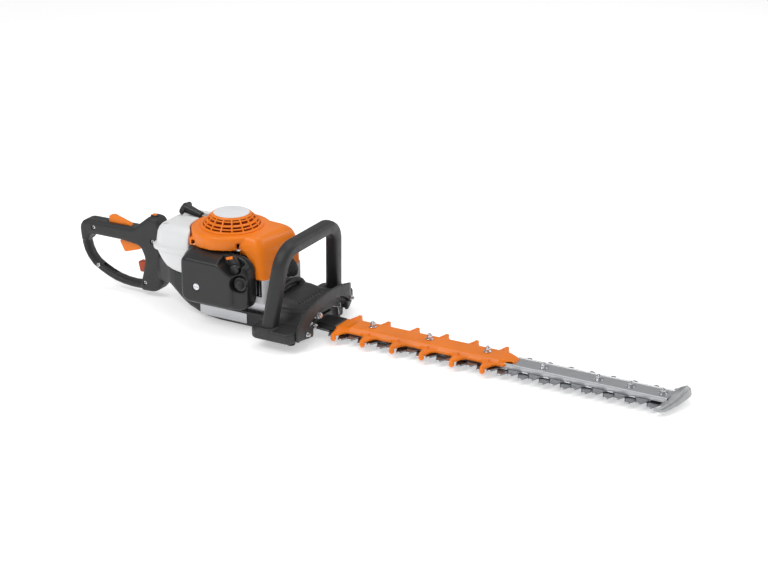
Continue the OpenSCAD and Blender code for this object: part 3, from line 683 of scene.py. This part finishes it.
def front_route():
    corner_z = FRONT_BAR_Z - CORNER_R
    tilt = math.radians(LEG_TILT)
    corner_y = FRONT_FOOT_Y - (corner_z - LEVEL_Z) * math.tan(tilt) - CORNER_R / math.cos(tilt)
    foot_y = FRONT_FOOT_Y + (LEVEL_Z - FOOT_Z) * math.tan(tilt)
    half = [(foot_y + (corner_y + CORNER_R / math.cos(tilt) - foot_y) * i / 12,
        FOOT_Z + (corner_z - FOOT_Z) * i / 12) for i in range(12)]
    half += arc(corner_y, corner_z, CORNER_R, LEG_TILT, 90, 16)
    half += [(corner_y * (1 - i / 8), FRONT_BAR_Z) for i in range(1, 8)]
    whole = half + [(0, FRONT_BAR_Z)] + [(-y, z) for y, z in reversed(half)]
    return [(HANDLE_X + HANDLE_LEAN * (z - LEVEL_Z), y, z) for y, z in whole]


def make_front_handle():
    route = front_route()
    radii = [12.6 + 1.2 * max(0.0, 1 - (z - FOOT_Z) / 26) for _, _, z in route]
    grip = tube("front_handle_skin", route, radii, 40, 1.0, (1, 0, -HANDLE_LEAN), 2.9)
    dress(smooth_over(grip, 50), "black_plastic", "front_handle")


make_front_handle()


# ---- engine cover
DECK_Z = 165.0
DRUM_R = 71.5


def skirt(name, thin=0.0):
    """The cover's lower part, widening from the deck down to the cylinder shroud."""
    levels = [(97.5, 61.4, 106.5, 61, 106.5, 61), (112, 61.4, 101.5, 58, 106.4, 60.5),
        (128, 61.4, 95, 54, 105.8, 60), (142, 61.2, 89, 49.5, 104.5, 58.5), (152, 61, 85, 45.5, 102, 56),
        (158, 60.6, 82.5, 42.5, 98.5, 53), (162, 60, 80.5, 40, 93, 50), (DECK_Z, 58, 77.5, 37, 85, 46)]
    rings = []
    for z, rear, near_x, near_y, far_x, far_y in levels:
        z = z - thin if z > 100 else z - 2 * thin
        corners = [(-41 + thin, thin - rear, 4), (near_x - thin, thin - near_y, 12),
            (far_x - thin, far_y - thin, 14), (-41 + thin, rear - thin, 4)]
        rings.append(section("z", z, corners, 8))
    return loft(name, rings)


def drum(name, thin=0.0):
    profile = [(0, 137 - thin), (DRUM_R - thin, 137 - thin), (DRUM_R - thin, 157 - thin)]
    profile += [(DRUM_R - 6 + 6 * math.cos(a) - thin, DECK_Z - 6 + 6 * math.sin(a) - thin)
        for a in (math.radians(15 * i) for i in range(7))]
    return revolve(name, profile + [(0, DECK_Z - thin)], steps=72)


COVER_SCREWS = [(-41, -55.5, 139.5), (50, -56, 144.5), (-46, 46, 142.0), (40, 54, 144.0)]


def make_cover():
    shell = skirt("cover_skin")
    ear = slab("ear", rounded_box(-51, -62, -30, -44, 6), 136, 151, "z", 3)
    add(shell, drum("drum"), ear)
    cut(shell, skirt("skirt_hollow", 3.2), drum("drum_hollow", 3.2))
    arch = round_corners([(-70, 80, 0), (-70, 137, 0), (-48, 137.5, 6), (60, 142, 26), (82.5, 108, 20),
        (82.5, 80, 0)], 8)
    cut(shell, slab("arch", arch, -80, -50))
    cut(shell, rod("dome_hole", 52.5, 150, 175, steps=64))
    plug_gap = round_corners([(-17, 90, 0), (-17, 120, 10), (-8, 132, 8), (8, 132, 8), (17, 120, 10),
        (17, 90, 0)], 5)
    cut(shell, slab("plug_gap", plug_gap, 80, 125, "x"))
    cut(shell, box("rope_gap", -90, 13, 151, -60, 27, 168))
    for x, y, z in COVER_SCREWS:
        cut(shell, revolve("pocket", [(0, z), (6.4, z), (6.6, z + 8), (4, z + 10.5), (0, z + 11)],
            (x, y, 0), "z", 32))
    melt(shell, 1.25, 5)
    dress(shell, "orange_plastic", "top_cover")
    heads = [torx_screw("cover_screw", x, y, z + 1.2, 4.6, "z") for x, y, z in COVER_SCREWS]
    dress(join("cover_screw_heads", heads), "screw_steel", "cover_screws")


def dome_radius(z):
    t = (z - DECK_Z) / 23.0
    return 33.0 + 20.5 * (1 - max(t, 0) ** 1.15)


def make_dome():
    ribs = 16
    parts = [revolve("dome_foot", [(49.5, 161), (56.5, 161), (56.5, 166.2), (54.5, 168), (51.5, 168.2),
        (49.5, 167)], steps=96)]
    for low, high in ((169.2, 171.6), (174.9, 177.3), (180.4, 182.6)):
        profile = [(dome_radius(low) - 0.6, low), (dome_radius(high) - 0.4, high),
            (dome_radius(high) - 1.6, high + 0.5), (dome_radius(high) - 5.5, high - 1.0),
            (dome_radius(high) - 5.5, high - 2.4), (dome_radius(low) - 2.2, low - 0.1)]
        parts.append(revolve("louvre", profile + profile[:1], steps=96))
    crown = [(30.0, 184.8), (dome_radius(185) + 0.2, 184.8), (dome_radius(187.2) + 0.2, 187.0),
        (33.2, 188.0), (32.4, 188.0), (32.2, 186.8), (0, 186.8), (0, 185.0)]
    parts.append(revolve("crown", crown + crown[:1], steps=96))
    for i in range(ribs):
        a = math.tau * (i + 0.5) / ribs
        outline = [(dome_radius(z) + 0.7, z) for z in (165, 168, 171, 174, 177, 180, 183, 186)]
        outline += [(31, 187), (31, 183), (40, 176), (47, 165)]
        rib = slab("rib", outline, -1.4, 1.4, "y", 0.5, 2)
        rib.data.transform(Matrix.Rotation(a, 4, "Z"))
        parts.append(rib)
    dome = smooth_over(join("cover_dome", parts), 32)
    dress(dome, "orange_plastic")
    disc = revolve("badge_face", [(0, 187), (32, 187), (32, 188.3), (31.4, 188.9), (30.6, 188.9),
        (30.3, 188.6), (0, 189.3)], steps=96)
    dress(smooth_over(disc, 40), "badge_white", "badge_disc")
    fan_post = rod("fan_floor", 51, 164, 165, steps=64)
    dress(fan_post, "black_satin")


make_cover()
make_dome()


# ---- fuel tank
RIM_Z, TANK_FRONT_X, CAP = 119.0, -52.0, (-95, 0, 126)


def tank_ring(z, rear_x, half, radius):
    corners = [(TANK_FRONT_X, -half, 5), (TANK_FRONT_X, half, 5), (rear_x, half - 4, radius),
        (rear_x, -half + 4, radius)]
    return section("z", z, corners, 10)


def make_tank():
    low_levels = [(75, -73, 50, 12), (78, -89, 55, 14), (81.5, -102, 57.6, 17), (86, -112, 58.8, 19),
        (92, -119, 59.4, 21), (100, -125, 59.8, 22), (109, -130, 60.1, 22), (RIM_Z - 1.2, -133, 60.2, 22)]
    lower = loft("tank_lower", [tank_ring(*level) for level in low_levels])
    high_levels = [(RIM_Z - 1.0, -133, 60.2, 22), (126, -132.8, 59.9, 22), (136, -131.8, 59.3, 22),
        (146, -130, 58.2, 21), (153, -127, 56.2, 20), (158, -122.6, 53, 18), (161, -117, 49, 17),
        (162.2, -111, 44, 16)]
    upper = loft("tank_upper", [tank_ring(*level) for level in high_levels])
    rim_levels = [(-5.2, -133.2, 60.4, 22), (-4.0, -137.0, 64.0, 24), (-0.6, -137.6, 64.6, 24),
        (0, -136.6, 63.6, 24), (0.6, -137.6, 64.6, 24), (4.0, -137.0, 64.0, 24), (5.2, -133.2, 60.4, 22)]
    rim = loft("tank_rim", [tank_ring(RIM_Z + rise, *level) for rise, *level in rim_levels])
    add(upper, lower, rim)
    cut(upper, rod("drum_room", 73.6, 133, 220, steps=64),
        slab("grip_room", rounded_box(-150, 8, -55, 34, 8), 150, 190, "z", 0, low_edge=0),
        slab("ear_room", rounded_box(-54, -75, -20, -42, 6), 133, 190, "z"),
        slab("vent", rounded_box(-117, -43, -106, -37.5, 2.6), 152, 190, "z"))
    melt(upper, 1.3, 4)
    dress(upper, "tank_plastic", "fuel_tank")
    cap_profile = [(0, 72), (15.5, 72), (17.4, 71), (18, 69.5), (18, 62.5), (14, 62.4), (14, 55), (0, 55)]
    cap = revolve("tank_cap_skin", cap_profile, CAP, "y", 64)
    teeth = []
    for i in range(16):
        a = math.tau * i / 16
        teeth.append(slab("grip_groove", rounded_box(-1.4, -1.4, 1.4, 1.4, 1.2), 61, 76, "z"))
        teeth[-1].data.transform(Matrix.Translation(Vector(CAP) * MM) @ Matrix.Rotation(a, 4, "Y")
            @ Matrix.Translation((18.2 * MM, 0, 0)) @ Matrix.Rotation(-math.pi / 2, 4, "X"))
    cut(cap, *teeth)
    wing = slab("cap_wing", round_corners(corner_box(-107, 122.5, -83, 129.5, 3), 4), 70, 75.5, "y", 1.5)
    dress(smooth_over(join("tank_cap_piece", [cap, wing]), 35), "black_plastic", "tank_cap", body="fuel_cap")


make_tank()


# ---- filter housing
PRIMER, FILTER_SCREW = (72, 0, 95.5), (-13, 0, 78)


def make_filter_housing():
    def ring(y, x0, z0, x1, z1, radius):
        corners = [(x0, z0, radius), (x1, z0, radius), (x1, z1 - 2, radius * 1.6), (x0, z1, radius * 0.7)]
        return section("y", y, corners, 10)
    levels = [(-59.5, -51, 43, 86.5, 139, 22), (-72, -50, 43.4, 86, 137, 22), (-79, -49, 44, 85.4, 135, 21),
        (-83.5, -48, 44.4, 84, 133.5, 21), (-86.5, -47.2, 44.8, 77, 132.4, 20),
        (-89.5, -46.4, 45.4, 67, 131, 18), (-93, -45.6, 46.4, 61.5, 129.4, 16),
        (-96, -43.6, 48.6, 59.3, 127.4, 14), (-98, -40.5, 52, 56, 124.4, 11)]
    shell = loft("filter_skin", [ring(*level) for level in levels])
    bowl = revolve("bowl", [(0, -122), (16.5, -122), (15.4, -85), (14, -83.2), (0, -83)], PRIMER, "y", 48)
    choke_room = slab("choke_room", [(30, 126, 8), (56, 108, 8), (72, 114, 8), (74, 160, 6), (26, 160, 6)],
        -120, -69, "y", 2)
    cut(shell, bowl, choke_room)
    cut(shell, revolve("screw_pit", [(0, -120), (7.6, -120), (7.2, -95), (0, -94.8)], FILTER_SCREW, "y", 40))
    melt(shell, 1.25, 5)
    dress(shell, "black_satin", "filter_cover")
    screw = revolve("filter_knob", [(0, -97.6), (3.4, -97.6), (6.0, -97.0), (6.2, -95.0), (6.2, -93),
        (0, -93)], FILTER_SCREW, "y", 40)
    cut(screw, box("screw_slot", -17.5, -99, 77.4, -8.5, -96.6, 78.6))
    dress(smooth_over(screw, 30), "screw_steel", "filter_screw")
    bulb = [(0, -97.4)]
    bulb += [(8.6 * math.sin(a), -88.9 - 8.5 * math.cos(a))
        for a in (math.radians(9 * i) for i in range(1, 11))]
    bulb += [(9.6, -88.4), (9.6, -87.4), (0, -87.4)]
    dress(smooth_over(revolve("primer_skin", bulb, PRIMER, "y", 48), 50), "soft_rubber", "primer_bulb",
        body="primer")
    collar = [(10.4, -88.6), (12, -88.2), (12.8, -85), (12.8, -82.6), (10.4, -82.6)]
    ring_piece = revolve("primer_collar", collar + collar[:1], PRIMER, "y", 48)
    dress(smooth_over(ring_piece, 30), "black_satin")
    knob = revolve("choke_base", [(0, -85), (7.6, -85), (8.8, -84), (9, -82), (9, -69.5), (0, -69.5)],
        (58, 0, 118), "y", 40)
    lever = slab("choke_lever", [(52, 112, 3), (65, 113, 4), (65, 124, 6), (54, 141.5, 3), (38, 136, 3),
        (44, 128, 4)], -80, -70, "y", 2.4)
    dress(smooth_over(join("choke_skin", [knob, lever]), 35), "black_satin", "choke_knob", body="choke")
    strip = slab("choke_mark", [(40.5, 131.6, 1.6), (54, 136, 1.6), (52.6, 140.8, 1.6), (39, 136.4, 1.6)],
        -80.8, -79, "y", 0.4)
    dress(smooth_over(strip), "orange_plastic", body="choke")
    plate = slab("filter_plate", [(-50, 44, 18), (85.5, 44, 18), (85.5, 137, 26), (-50, 138, 6)],
        -63.4, -60.4, "y", 0.6, 2)
    dress(smooth_over(plate), "black_plastic", "filter_base")


make_filter_housing()


# ---- engine base
def make_base():
    stations = [(107, 50.5, 0, 32, 8), (0, 50.5, 0.6, 32, 8), (-30, 50.5, 3, 33, 10),
        (-44, 50.6, 6.5, 36, 12), (-50, 51, 8.5, 80, 14), (-62, 52, 13, 81, 16), (-76, 52.4, 21.5, 82, 18),
        (-90, 52, 32.5, 84, 20), (-102, 49, 40, 87, 20), (-113, 42, 41.5, 90, 20), (-124, 34.5, 38, 92, 20),
        (-133, 29.5, 34.5, 92, 22), (-139, 28, 33, 90, 24)]
    rings = []
    for x, half, low, high, r in stations:
        corners = [(-half, low, r), (half, low, r), (half, high, 7), (-half, high, 7)]
        rings.append(section("x", x, corners, 7))
    body = loft("base_skin", rings)
    room = [(120, 7, 0), (-40, 9, 0), (-62, 22, 0), (-88, 42, 0), (-96, 60, 0), (-96, 130, 0), (120, 130, 0)]
    cut(body, slab("base_hollow", room, -45, 45, "y"))
    ledge = box("ledge", -46, -53.5, 27.5, 107, -49, 32)
    add(body, ledge)
    cut(body, rod("swivel_bore", 10, -150, -128, SWIVEL_AXIS, "x", 40))
    melt(body, 1.3, 4)
    dress(body, "black_plastic", "engine_base")
    plate = slab("rating_plate_skin", rounded_box(-37, 7.5, 60, 26, 1.5), -51.5, -50.3, "y", 0.3)
    dress(smooth_over(plate), "label_silver", "rating_plate")


make_base()

# ---- front housing
def rounded_section(x, half, low, high, radius):
    """A cross-section in the YZ plane with rounded upper corners."""
    corners = [(-half, low, 3), (half, low, 3), (half, high, radius), (-half, high, radius)]
    return section("x", x, corners, 8)


def make_front_housing():
    hump = [(107.5, 62, 62.5, 24), (118, 62, 66.5, 26), (132, 62, 67, 28), (146, 61, 65, 28),
        (158, 60, 62, 27), (170, 58.5, 59.5, 26), (182, 57, 57.5, 24), (190, 55, 53, 22),
        (194.5, 52, 46, 18), (196, 50, 42, 16)]
    body = loft("front_skin", [rounded_section(x, half, 5, high, r) for x, half, high, r in hump])
    skirting = slab("front_plate", [(111, -125.5, 16), (190, -125.5, 10), (196, -112, 10), (196, 70, 10),
        (184, 100, 20), (172, 125.5, 14), (111, 125.5, 16)], 19, 38, "z", 4)
    steps = ((33, 86, 0), (38, 79, 1), (43, 72, 2), (49, 66.5, 3), (55, 62.5, 5))
    shoulder = loft("shoulder", [section("z", z, corner_box(108 + t, -half, 194 - t, half, 10), 6)
        for z, half, t in steps])
    brow = tube("brow",
        [(116, 46 * math.cos(a), 58 + 20 * math.sin(a))
        for a in (math.radians(12 + 13 * i) for i in range(13))], 5.5, 16)
    add(body, skirting, shoulder, brow)
    feet = [revolve("foot", [(0, 0.2), (6.6, 0.2), (7.6, 1.2), (9, 24), (0, 24)], (168, side * 80, 0),
        "z", 32) for side in (-1, 1)]
    sockets = [slab("socket", corner_box(123, side * FRONT_FOOT_Y - 15, 157, side * FRONT_FOOT_Y + 15, 9),
        26, 41, "z", 3) for side in (-1, 1)]
    add(body, *feet, *sockets)
    room = box("gear_room", 100, -30, 4, 210, 30, 31)
    arch = slab("arch", [(-46, -10, 0), (46, -10, 0), (46, 36, 14), (-46, 36, 14)], 182, 220, "x")
    cut(body, room, arch)
    for side in (-1, 1):
        cut(body, box("pocket", 114, min(side * 64, side * 70), -5, 190, max(side * 64, side * 70), 30))
    for i in range(-4, 5):
        slot = slab("rib_gap", [(158, 50, 0), (181, 50, 0), (188, 70, 0), (160, 70, 0)], -2.2, 2.2, "y")
        slot.data.transform(Matrix.Translation((0, i * 9.5 * MM, 0.0074)))
        cut(body, slot)
    mouth = [(-64, -10, 0), (64, -10, 0), (64, 36, 10), (40, 50, 14), (0, 55, 20), (-40, 50, 14),
        (-64, 36, 10)]
    cut(body, slab("arch_mouth", mouth, 187, 220, "x"))
    melt(body, 1.35, 4)
    dress(body, "black_plastic", "front_housing")


def make_hand_guard():
    half = 2.4
    rings = []
    stations = [(-111, 22, 37), (-109, 20.5, 43), (-105, 20, 50), (-99, 21.5, 55), (-92, 25.5, 60),
        (-84, 30.5, 64.5), (-74, 36.5, 69), (-64, 42, 72.2), (-52, 48.5, 75), (-38, 54.5, 77.6),
        (-20, 58.4, 79.7), (0, 59.6, 80.5), (20, 58.9, 79.7), (38, 55.5, 77.6), (52, 49, 75),
        (64, 41, 71.8), (75, 31, 68), (85, 24.5, 63.6), (92, 22, 60), (97, 21.5, 56), (101, 24, 50)]
    for y, low, high in stations:
        sweep = 199.0 - 23.0 * max(0.0, (y - 58) / 42) ** 1.8
        ring = rounded_box(-half, low, half, high, 2.2, 4)
        rings.append([(sweep + a, y, b) for a, b in ring])
    band = loft("guard_skin", rings)
    lug = slab("guard_lug", [(-104, 21, 4), (-58, 14, 4), (-58, 34, 6), (-84, 40, 6), (-104, 34, 4)],
        196.4, 201, "x", 1.5)
    add(band, lug)
    melt(band, 1.0, 4)
    dress(band, "black_plastic", "hand_guard")


def hex_collar(name, x, y, z, size, length):
    """A flanged hex collar nut along X."""
    profile = [(size * 1.25, 0), (size * 1.3, 0.4), (size * 1.3, 1.6), (size * 1.15, 2.2)]
    flange = revolve(name, [(0, 0)] + profile + [(0, 2.2)], (x, y, z), "x", 40)
    corners = [(y + size * 1.1 * math.cos(a), z + size * 1.1 * math.sin(a), 0.8)
        for a in (math.radians(60 * k + 12) for k in range(6))]
    nut = slab(name + "_hex", corners, x + 1.8, x + length - 2.6, "x", 0.5, 2)
    barrel = revolve(name + "_barrel",
        [(0, length - 3.2), (size * 0.82, length - 3.2), (size * 0.82, length - 0.5), (size * 0.68, length),
        (0, length)], (x, y, z), "x", 32)
    return join(name, [flange, nut, barrel])


def make_front_fixings():
    screws = [hex_collar("collar_nut", 201.2, -82, 27, 3.2, 7),
        hex_collar("collar_nut", 199.6, 70, 42, 3.2, 7), hex_collar("collar_nut", 192.5, -38, 46, 5.2, 12),
        hex_collar("collar_nut", 190, -49, 28.5, 5.2, 12)]
    for side in (-1, 1):
        screws.append(hex_collar("handle_bolt", 156.8, side * FRONT_FOOT_Y, 22, 3.2, 4))
    dress(smooth_over(join("collar_nuts", screws), 32), "screw_steel", "handle_screws")
    shaft = slab("bar_root", corner_box(184, -21.4, 222, 21.4, 2), 15.1, 25, "z", 3.5, 4, 0)
    cut(shaft, box("shaft_gap", 180, -20.2, 10, 230, 20.2, 23.2))
    neck = slab("bar_neck", corner_box(112, -29.5, 185.5, 29.5, 3), 16, 30.6, "z", 2)
    cut(neck, box("bar_gap", 100, -17, 9, 190, 17, 16.4))
    dress(smooth_over(join("bar_root_piece", [neck, shaft]), 32), "black_satin", "bar_holder")
    ring_path = [(188 + 4.2 * math.cos(a), 47, 34 + 4.2 * math.sin(a))
        for a in (math.radians(-100 + 20 * i) for i in range(17))]
    wire = [(178, 30, 36), (184, 38, 33.5)] + ring_path + [(188, 46, 26), (190, 44, 18)]
    dress(smooth_over(tube("safety_clip", wire, 0.75, 10), 60), "screw_steel")


make_front_housing()
make_hand_guard()
make_front_fixings()


# ---- cutting gear
BLADE_START, TOOTH_PITCH, TEETH = 222.0, 38.0, 16
GUARD_BOLTS, BAR_BOLTS = [284, 394, 504], [607, 706, 762, 818]
BLADE_END = BLADE_START + TEETH * TOOTH_PITCH


def blade_corners(first, root):
    """The blade's outline with a raked, blunt tooth at each pitch."""
    near, far = [], []
    for i in range(TEETH):
        x = first + i * TOOTH_PITCH
        if x + 11 > BLADE_END - 2:
            continue
        near += [(x - 12, -21, 5), (x - 3.6, -40.8, 0.8), (x + 3.6, -40.8, 0.8), (x + 12, -21, 5)]
        far += [(x - 12, 21, 5), (x - 3.6, 40.8, 0.8), (x + 3.6, 40.8, 0.8), (x + 12, 21, 5)]
    end = min(first + (TEETH - 1) * TOOTH_PITCH + 14, BLADE_END)
    return ([(root, -13.5, 2)] + near + [(end, -21, 1), (end, 21, 1)] + far[::-1] + [(root, 13.5, 2)])


def make_blades():
    for name, node, body, first, low in (
            ("upper_blade_skin", "upper_blade", "blade_upper", BLADE_START, 12.5),
            ("lower_blade_skin", "lower_blade", "blade_lower", BLADE_START + 19, 9.5)):
        blade = slab(name, blade_corners(first, 150), low, low + 2.2, "z", 1.25, 1, 0)
        dress(smooth_over(blade, 12), "blade_steel", node, body=body)


def make_guide_bar():
    profile = [(-20, 15), (20, 15), (20, 20), (19.2, 22), (17.8, 23), (16.6, 22.6), (16, 21.6), (-16, 21.6),
        (-16.6, 22.6), (-17.8, 23), (-19.2, 22), (-20, 20)]
    bar = loft("guide_bar_skin", [[(x, y, z) for y, z in profile] for x in (188, BLADE_END + 2.5)])
    for x in BAR_BOLTS:
        cut(bar, rod("bolt_seat", 8.4, 20.6, 30, (x, 0, 0), "z", 32))
    soften(bar, 0.35, 25)
    dress(bar, "bar_alloy", "guide_bar")
    bolts = []
    for x in GUARD_BOLTS + BAR_BOLTS:
        top = 28.6 if x in GUARD_BOLTS else 20.7
        washer = revolve("washer", [(0, top), (6.6, top), (6.8, top + 0.3), (6.8, top + 1),
            (6.4, top + 1.4), (0, top + 1.4)], (x, 0, 0), "z", 36)
        corners = [(x + 5.2 * math.cos(a), 5.2 * math.sin(a), 0.6)
            for a in (math.radians(60 * k + x) for k in range(6))]
        nut = slab("nut", corners, top + 1.2, top + 7.4, "z", 0.7, 2)
        stud = revolve("stud", [(0, top + 7), (2.9, top + 7), (2.9, top + 9.4), (2.4, top + 9.9),
            (0, top + 9.9)], (x, 0, 0), "z", 24)
        foot = revolve("foot", [(0, 9.2), (7, 9.2), (7, 7.2), (6, 6.5), (0, 6.5)], (x, 0, 0), "z", 32)
        bolts += [washer, nut, stud, foot]
    dress(smooth_over(join("bar_bolt_heads", bolts), 30), "screw_steel", "bar_bolts")


FINGERS = [232 + 57 * k for k in range(6)]


def make_finger_guard():
    near = []
    for x in FINGERS:
        near += [(x - 9, -23.5, 12), (x - 2.9, -50, 2.8), (x + 2.9, -50, 2.8), (x + 14, -23.5, 14)]
    far = [(x, -y, r) for x, y, r in near]
    web = slab("guard_web", [(222, -20, 6)] + near
        + [(545, -23.5, 6), (552, -15, 5), (559.5, -12, 4), (559.5, 12, 4), (552, 15, 5), (545, 23.5, 6)]
        + far[::-1] + [(222, 20, 6)], 16.8, 22.2, "z", 2.0, 3)
    stations = [(222.4, 23.6, 24.4, 19.4), (241, 24, 24.7, 19), (245.5, 24, 25.6, 18.4),
        (251, 24, 28.2, 17), (534, 24, 28.2, 17), (542, 21, 27.6, 15), (550, 15, 26.4, 11.5),
        (557, 12, 24.6, 9), (559.4, 10, 23.2, 7)]
    rings = []
    for x, half, high, top_half in stations:
        corners = [(-half, 16.6, 1), (half, 16.6, 1), (half, 20.5, 3), (top_half, high, 4),
            (-top_half, high, 4), (-half, 20.5, 3)]
        rings.append(section("x", x, corners, 5))
    body = loft("guard_body", rings)
    add(body, web)
    post = [(0, 8)] + [(4.9 * math.sin(a), 12.8 - 4.8 * math.cos(a))
        for a in (math.radians(15 * i) for i in range(1, 8))] + [(3.7, 19), (3.4, 22), (0, 22.8)]
    fingers = [(x, side) for x in FINGERS for side in (-1, 1)]
    for x, side in fingers:
        add(body, revolve("finger_tip", post, (x, side * 46, 0), "z", 28))
        rib = [(side * 22, 19, 1), (side * 44, 19, 1), (side * 44, 23.2, 1), (side * 22, 26, 1)]
        add(body, slab("finger_rib", rib, x - 1.4, x + 1.4, "x", 0.6, 2))
    channel = [(-20.4, 5), (20.4, 5), (20.4, 18.4), (15.4, 23.3), (-15.4, 23.3), (-20.4, 18.4)]
    cut(body, loft("channel", [[(x, y, z) for y, z in channel] for x in (210, 556)]))
    for x in GUARD_BOLTS:
        cut(body, revolve("bolt_pit", [(0, 28.4), (8.8, 28.4), (9.2, 40), (0, 40)], (x, 0, 0), "z", 32))
        cut(body, box("seam", x + 21.4, -40, 27.5, x + 22.2, 40, 40))
    for x, side in fingers:
        cut(body, rod("root_hole", 1.6, 20, 40, (x + 5.5, side * 25.5, 0), "z", 20))
    melt(body, 0.95, 3)
    dress(body, "orange_plastic", "finger_guard")


make_blades()
make_guide_bar()
make_finger_guard()


# ---- starter and small parts
PLUG_AXIS = (0, 0, 98)


def make_starter_grip():
    cone = revolve("grip_cone", [(0, 0), (5.6, 0), (6.4, 0.8), (6.2, 6), (8.2, 28), (9.2, 36), (8.2, 41),
        (0, 43)], steps=40)
    lean = Matrix.Translation((-0.0755, 0.020, 0.162)) @ Matrix.Rotation(math.radians(-76), 4, "Y")
    cone.data.transform(lean)
    bar_path = [(-113 + 3.2 * (t / 18) ** 2 - 0.12 * t, 20 + t, 170 + 0.10 * t) for t in range(-18, 19, 2)]
    bar_radii = [7.0 * (1 - (abs(t) / 19.5) ** 7) ** 0.5 * (1 + 0.08 * math.cos(t / 4))
        for t in range(-18, 19, 2)]
    handle = tube("grip_bar", bar_path, bar_radii, 28, 0.82, (1, 0, 0))
    add(cone, handle)
    melt(cone, 0.8, 6)
    dress(cone, "black_satin", "starter_grip", body="starter_handle")


def make_plug_boot():
    path = [(104, 0, 127), (110, 0.6, 123), (115, 2, 117.5), (119, 4, 110), (120.5, 5.5, 102),
        (119.5, 6, 95), (117.5, 6, 90.5)]
    boot = tube("plug_boot_skin", path, [5.4, 7.4, 8.8, 10, 10.6, 9.6, 5.2], 32, 0.9, (0, 1, 0))
    plug = revolve("plug_socket", [(0, 100), (9.5, 100), (9.5, 118), (7, 121), (0, 121)], PLUG_AXIS, "x", 36)
    ribs = [revolve("boot_rib", [(8, x), (10.6, x), (10.6, x + 1.6), (8, x + 1.6), (8, x)],
        PLUG_AXIS, "x", 36) for x in (103, 107, 111)]
    add(boot, plug, *ribs)
    melt(boot, 0.8, 6)
    dress(boot, "soft_rubber", "plug_boot")


def ease_cad_edges():
    """Softens the edges of the nodes that show as they are."""
    for node in ("engine_shroud", "gear_housing", "gear_cover", "swivel_flange", "rubber_buffers",
            "engine_cylinder", "crankcase", "carburettor"):
        soften(NODES[node], 0.7 if node == "engine_shroud" else 0.4, 30)


def make_tip_guard():
    stations = [(-44, 822, 834, 8.5, 14, 14), (-41, 819, 836, 6.6, 15.4, 15), (-34, 825, 840, 5.6, 17, 16),
        (-24, 827, 844, 5.4, 19.4, 18), (-12, 827, 848, 5.4, 22, 22), (0, 827, 851, 5.4, 25, 24.5),
        (12, 827, 853.6, 5.4, 29, 23), (21, 826, 854.8, 5.4, 31.5, 19), (30, 825, 854.8, 5.4, 30.6, 17),
        (37, 823, 853, 5.6, 26, 16), (42, 820, 850, 6.6, 20, 15), (44.4, 823, 845, 9, 15, 14)]
    rings = []
    for y, rear, front, low, high, back in stations:
        wide, tall = front - rear, high - low
        corners = [(rear, low, 1), (front - 0.3 * wide, low, 2), (front, low + 0.3 * tall, 2),
            (front - 0.05 * wide, high - 0.15 * tall, 1), (front - 0.25 * wide, high, 1),
            (rear + 0.4 * wide, high - 0.35 * max(0, high - back), 2), (rear, back - 1, 1)]
        rings.append(section("y", y, corners, 5))
    shoe = loft("tip_skin", rings)
    room = [(800, -41.6), (829, -41.6), (841.5, -22), (841.5, 22), (829, 41.6), (800, 41.6)]
    cut(shoe, slab("blade_room", room, 8.6, 15.4, "z"))
    cut(shoe, box("bar_room", 800, -20.3, 14, 833.2, 20.3, 40))
    melt(shoe, 0.8, 4)
    dress(shoe, "tip_alloy", "tip_guard")


def make_muffler():
    can = slab("muffler_can", corner_box(12, 50, 76, 94, 8), 62, 88, "y", 4)
    neck = rod("exhaust_neck", 11, 46, 66, (62, 0, 98), "y", 32)
    spout = tube("exhaust_spout", [(60, 76, 56), (72, 77, 56), (80, 78, 54), (85, 79, 50)], 5.4, 24)
    bore = tube("spout_bore", [(70, 77, 56), (80, 78, 54), (87, 79.4, 48.6)], 4.2, 24)
    add(can, spout)
    cut(can, bore)
    dress(smooth_over(join("muffler_skin", [can, neck]), 35), "machined_steel", "muffler")
    shield = slab("shield_skin", [(5, 43, 9), (82, 43, 9), (82, 101, 16), (5, 101, 12)], 58, 94, "y", 9, 5, 0)
    cut(shield, slab("shield_hollow", [(7.5, 45.5, 7), (79.5, 45.5, 7), (79.5, 98.5, 14), (7.5, 98.5, 10)],
        50, 91.4, "y", 7), box("spout_gap", 76, 70, 38, 90, 90, 62))
    for i in range(7):
        cut(shield, slab("shield_slot", corner_box(14 + 9.6 * i, 54, 18.6 + 9.6 * i, 90, 2.3), 86, 100))
    melt(shield, 1.1, 3)
    dress(shield, "black_plastic", "muffler_shield")


def make_rope():
    """The starter rope, from its eyelet to the handle."""
    path = [(-52 - 30 * i / 48, 20, 160 + 3.4 * max(0.0, (i - 16) / 32) ** 1.5) for i in range(49)]
    rope = smooth_over(tube("starter_rope_skin", path,
        [2 + 0.12 * math.cos(i * 2.1) for i in range(49)], 14), 60)
    rope.data.materials.append(LOOKS["rope_fibre"])
    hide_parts("starter_rope")
    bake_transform(rope)


make_rope()
make_tip_guard()
make_muffler()
make_starter_grip()
make_plug_boot()
ease_cad_edges()
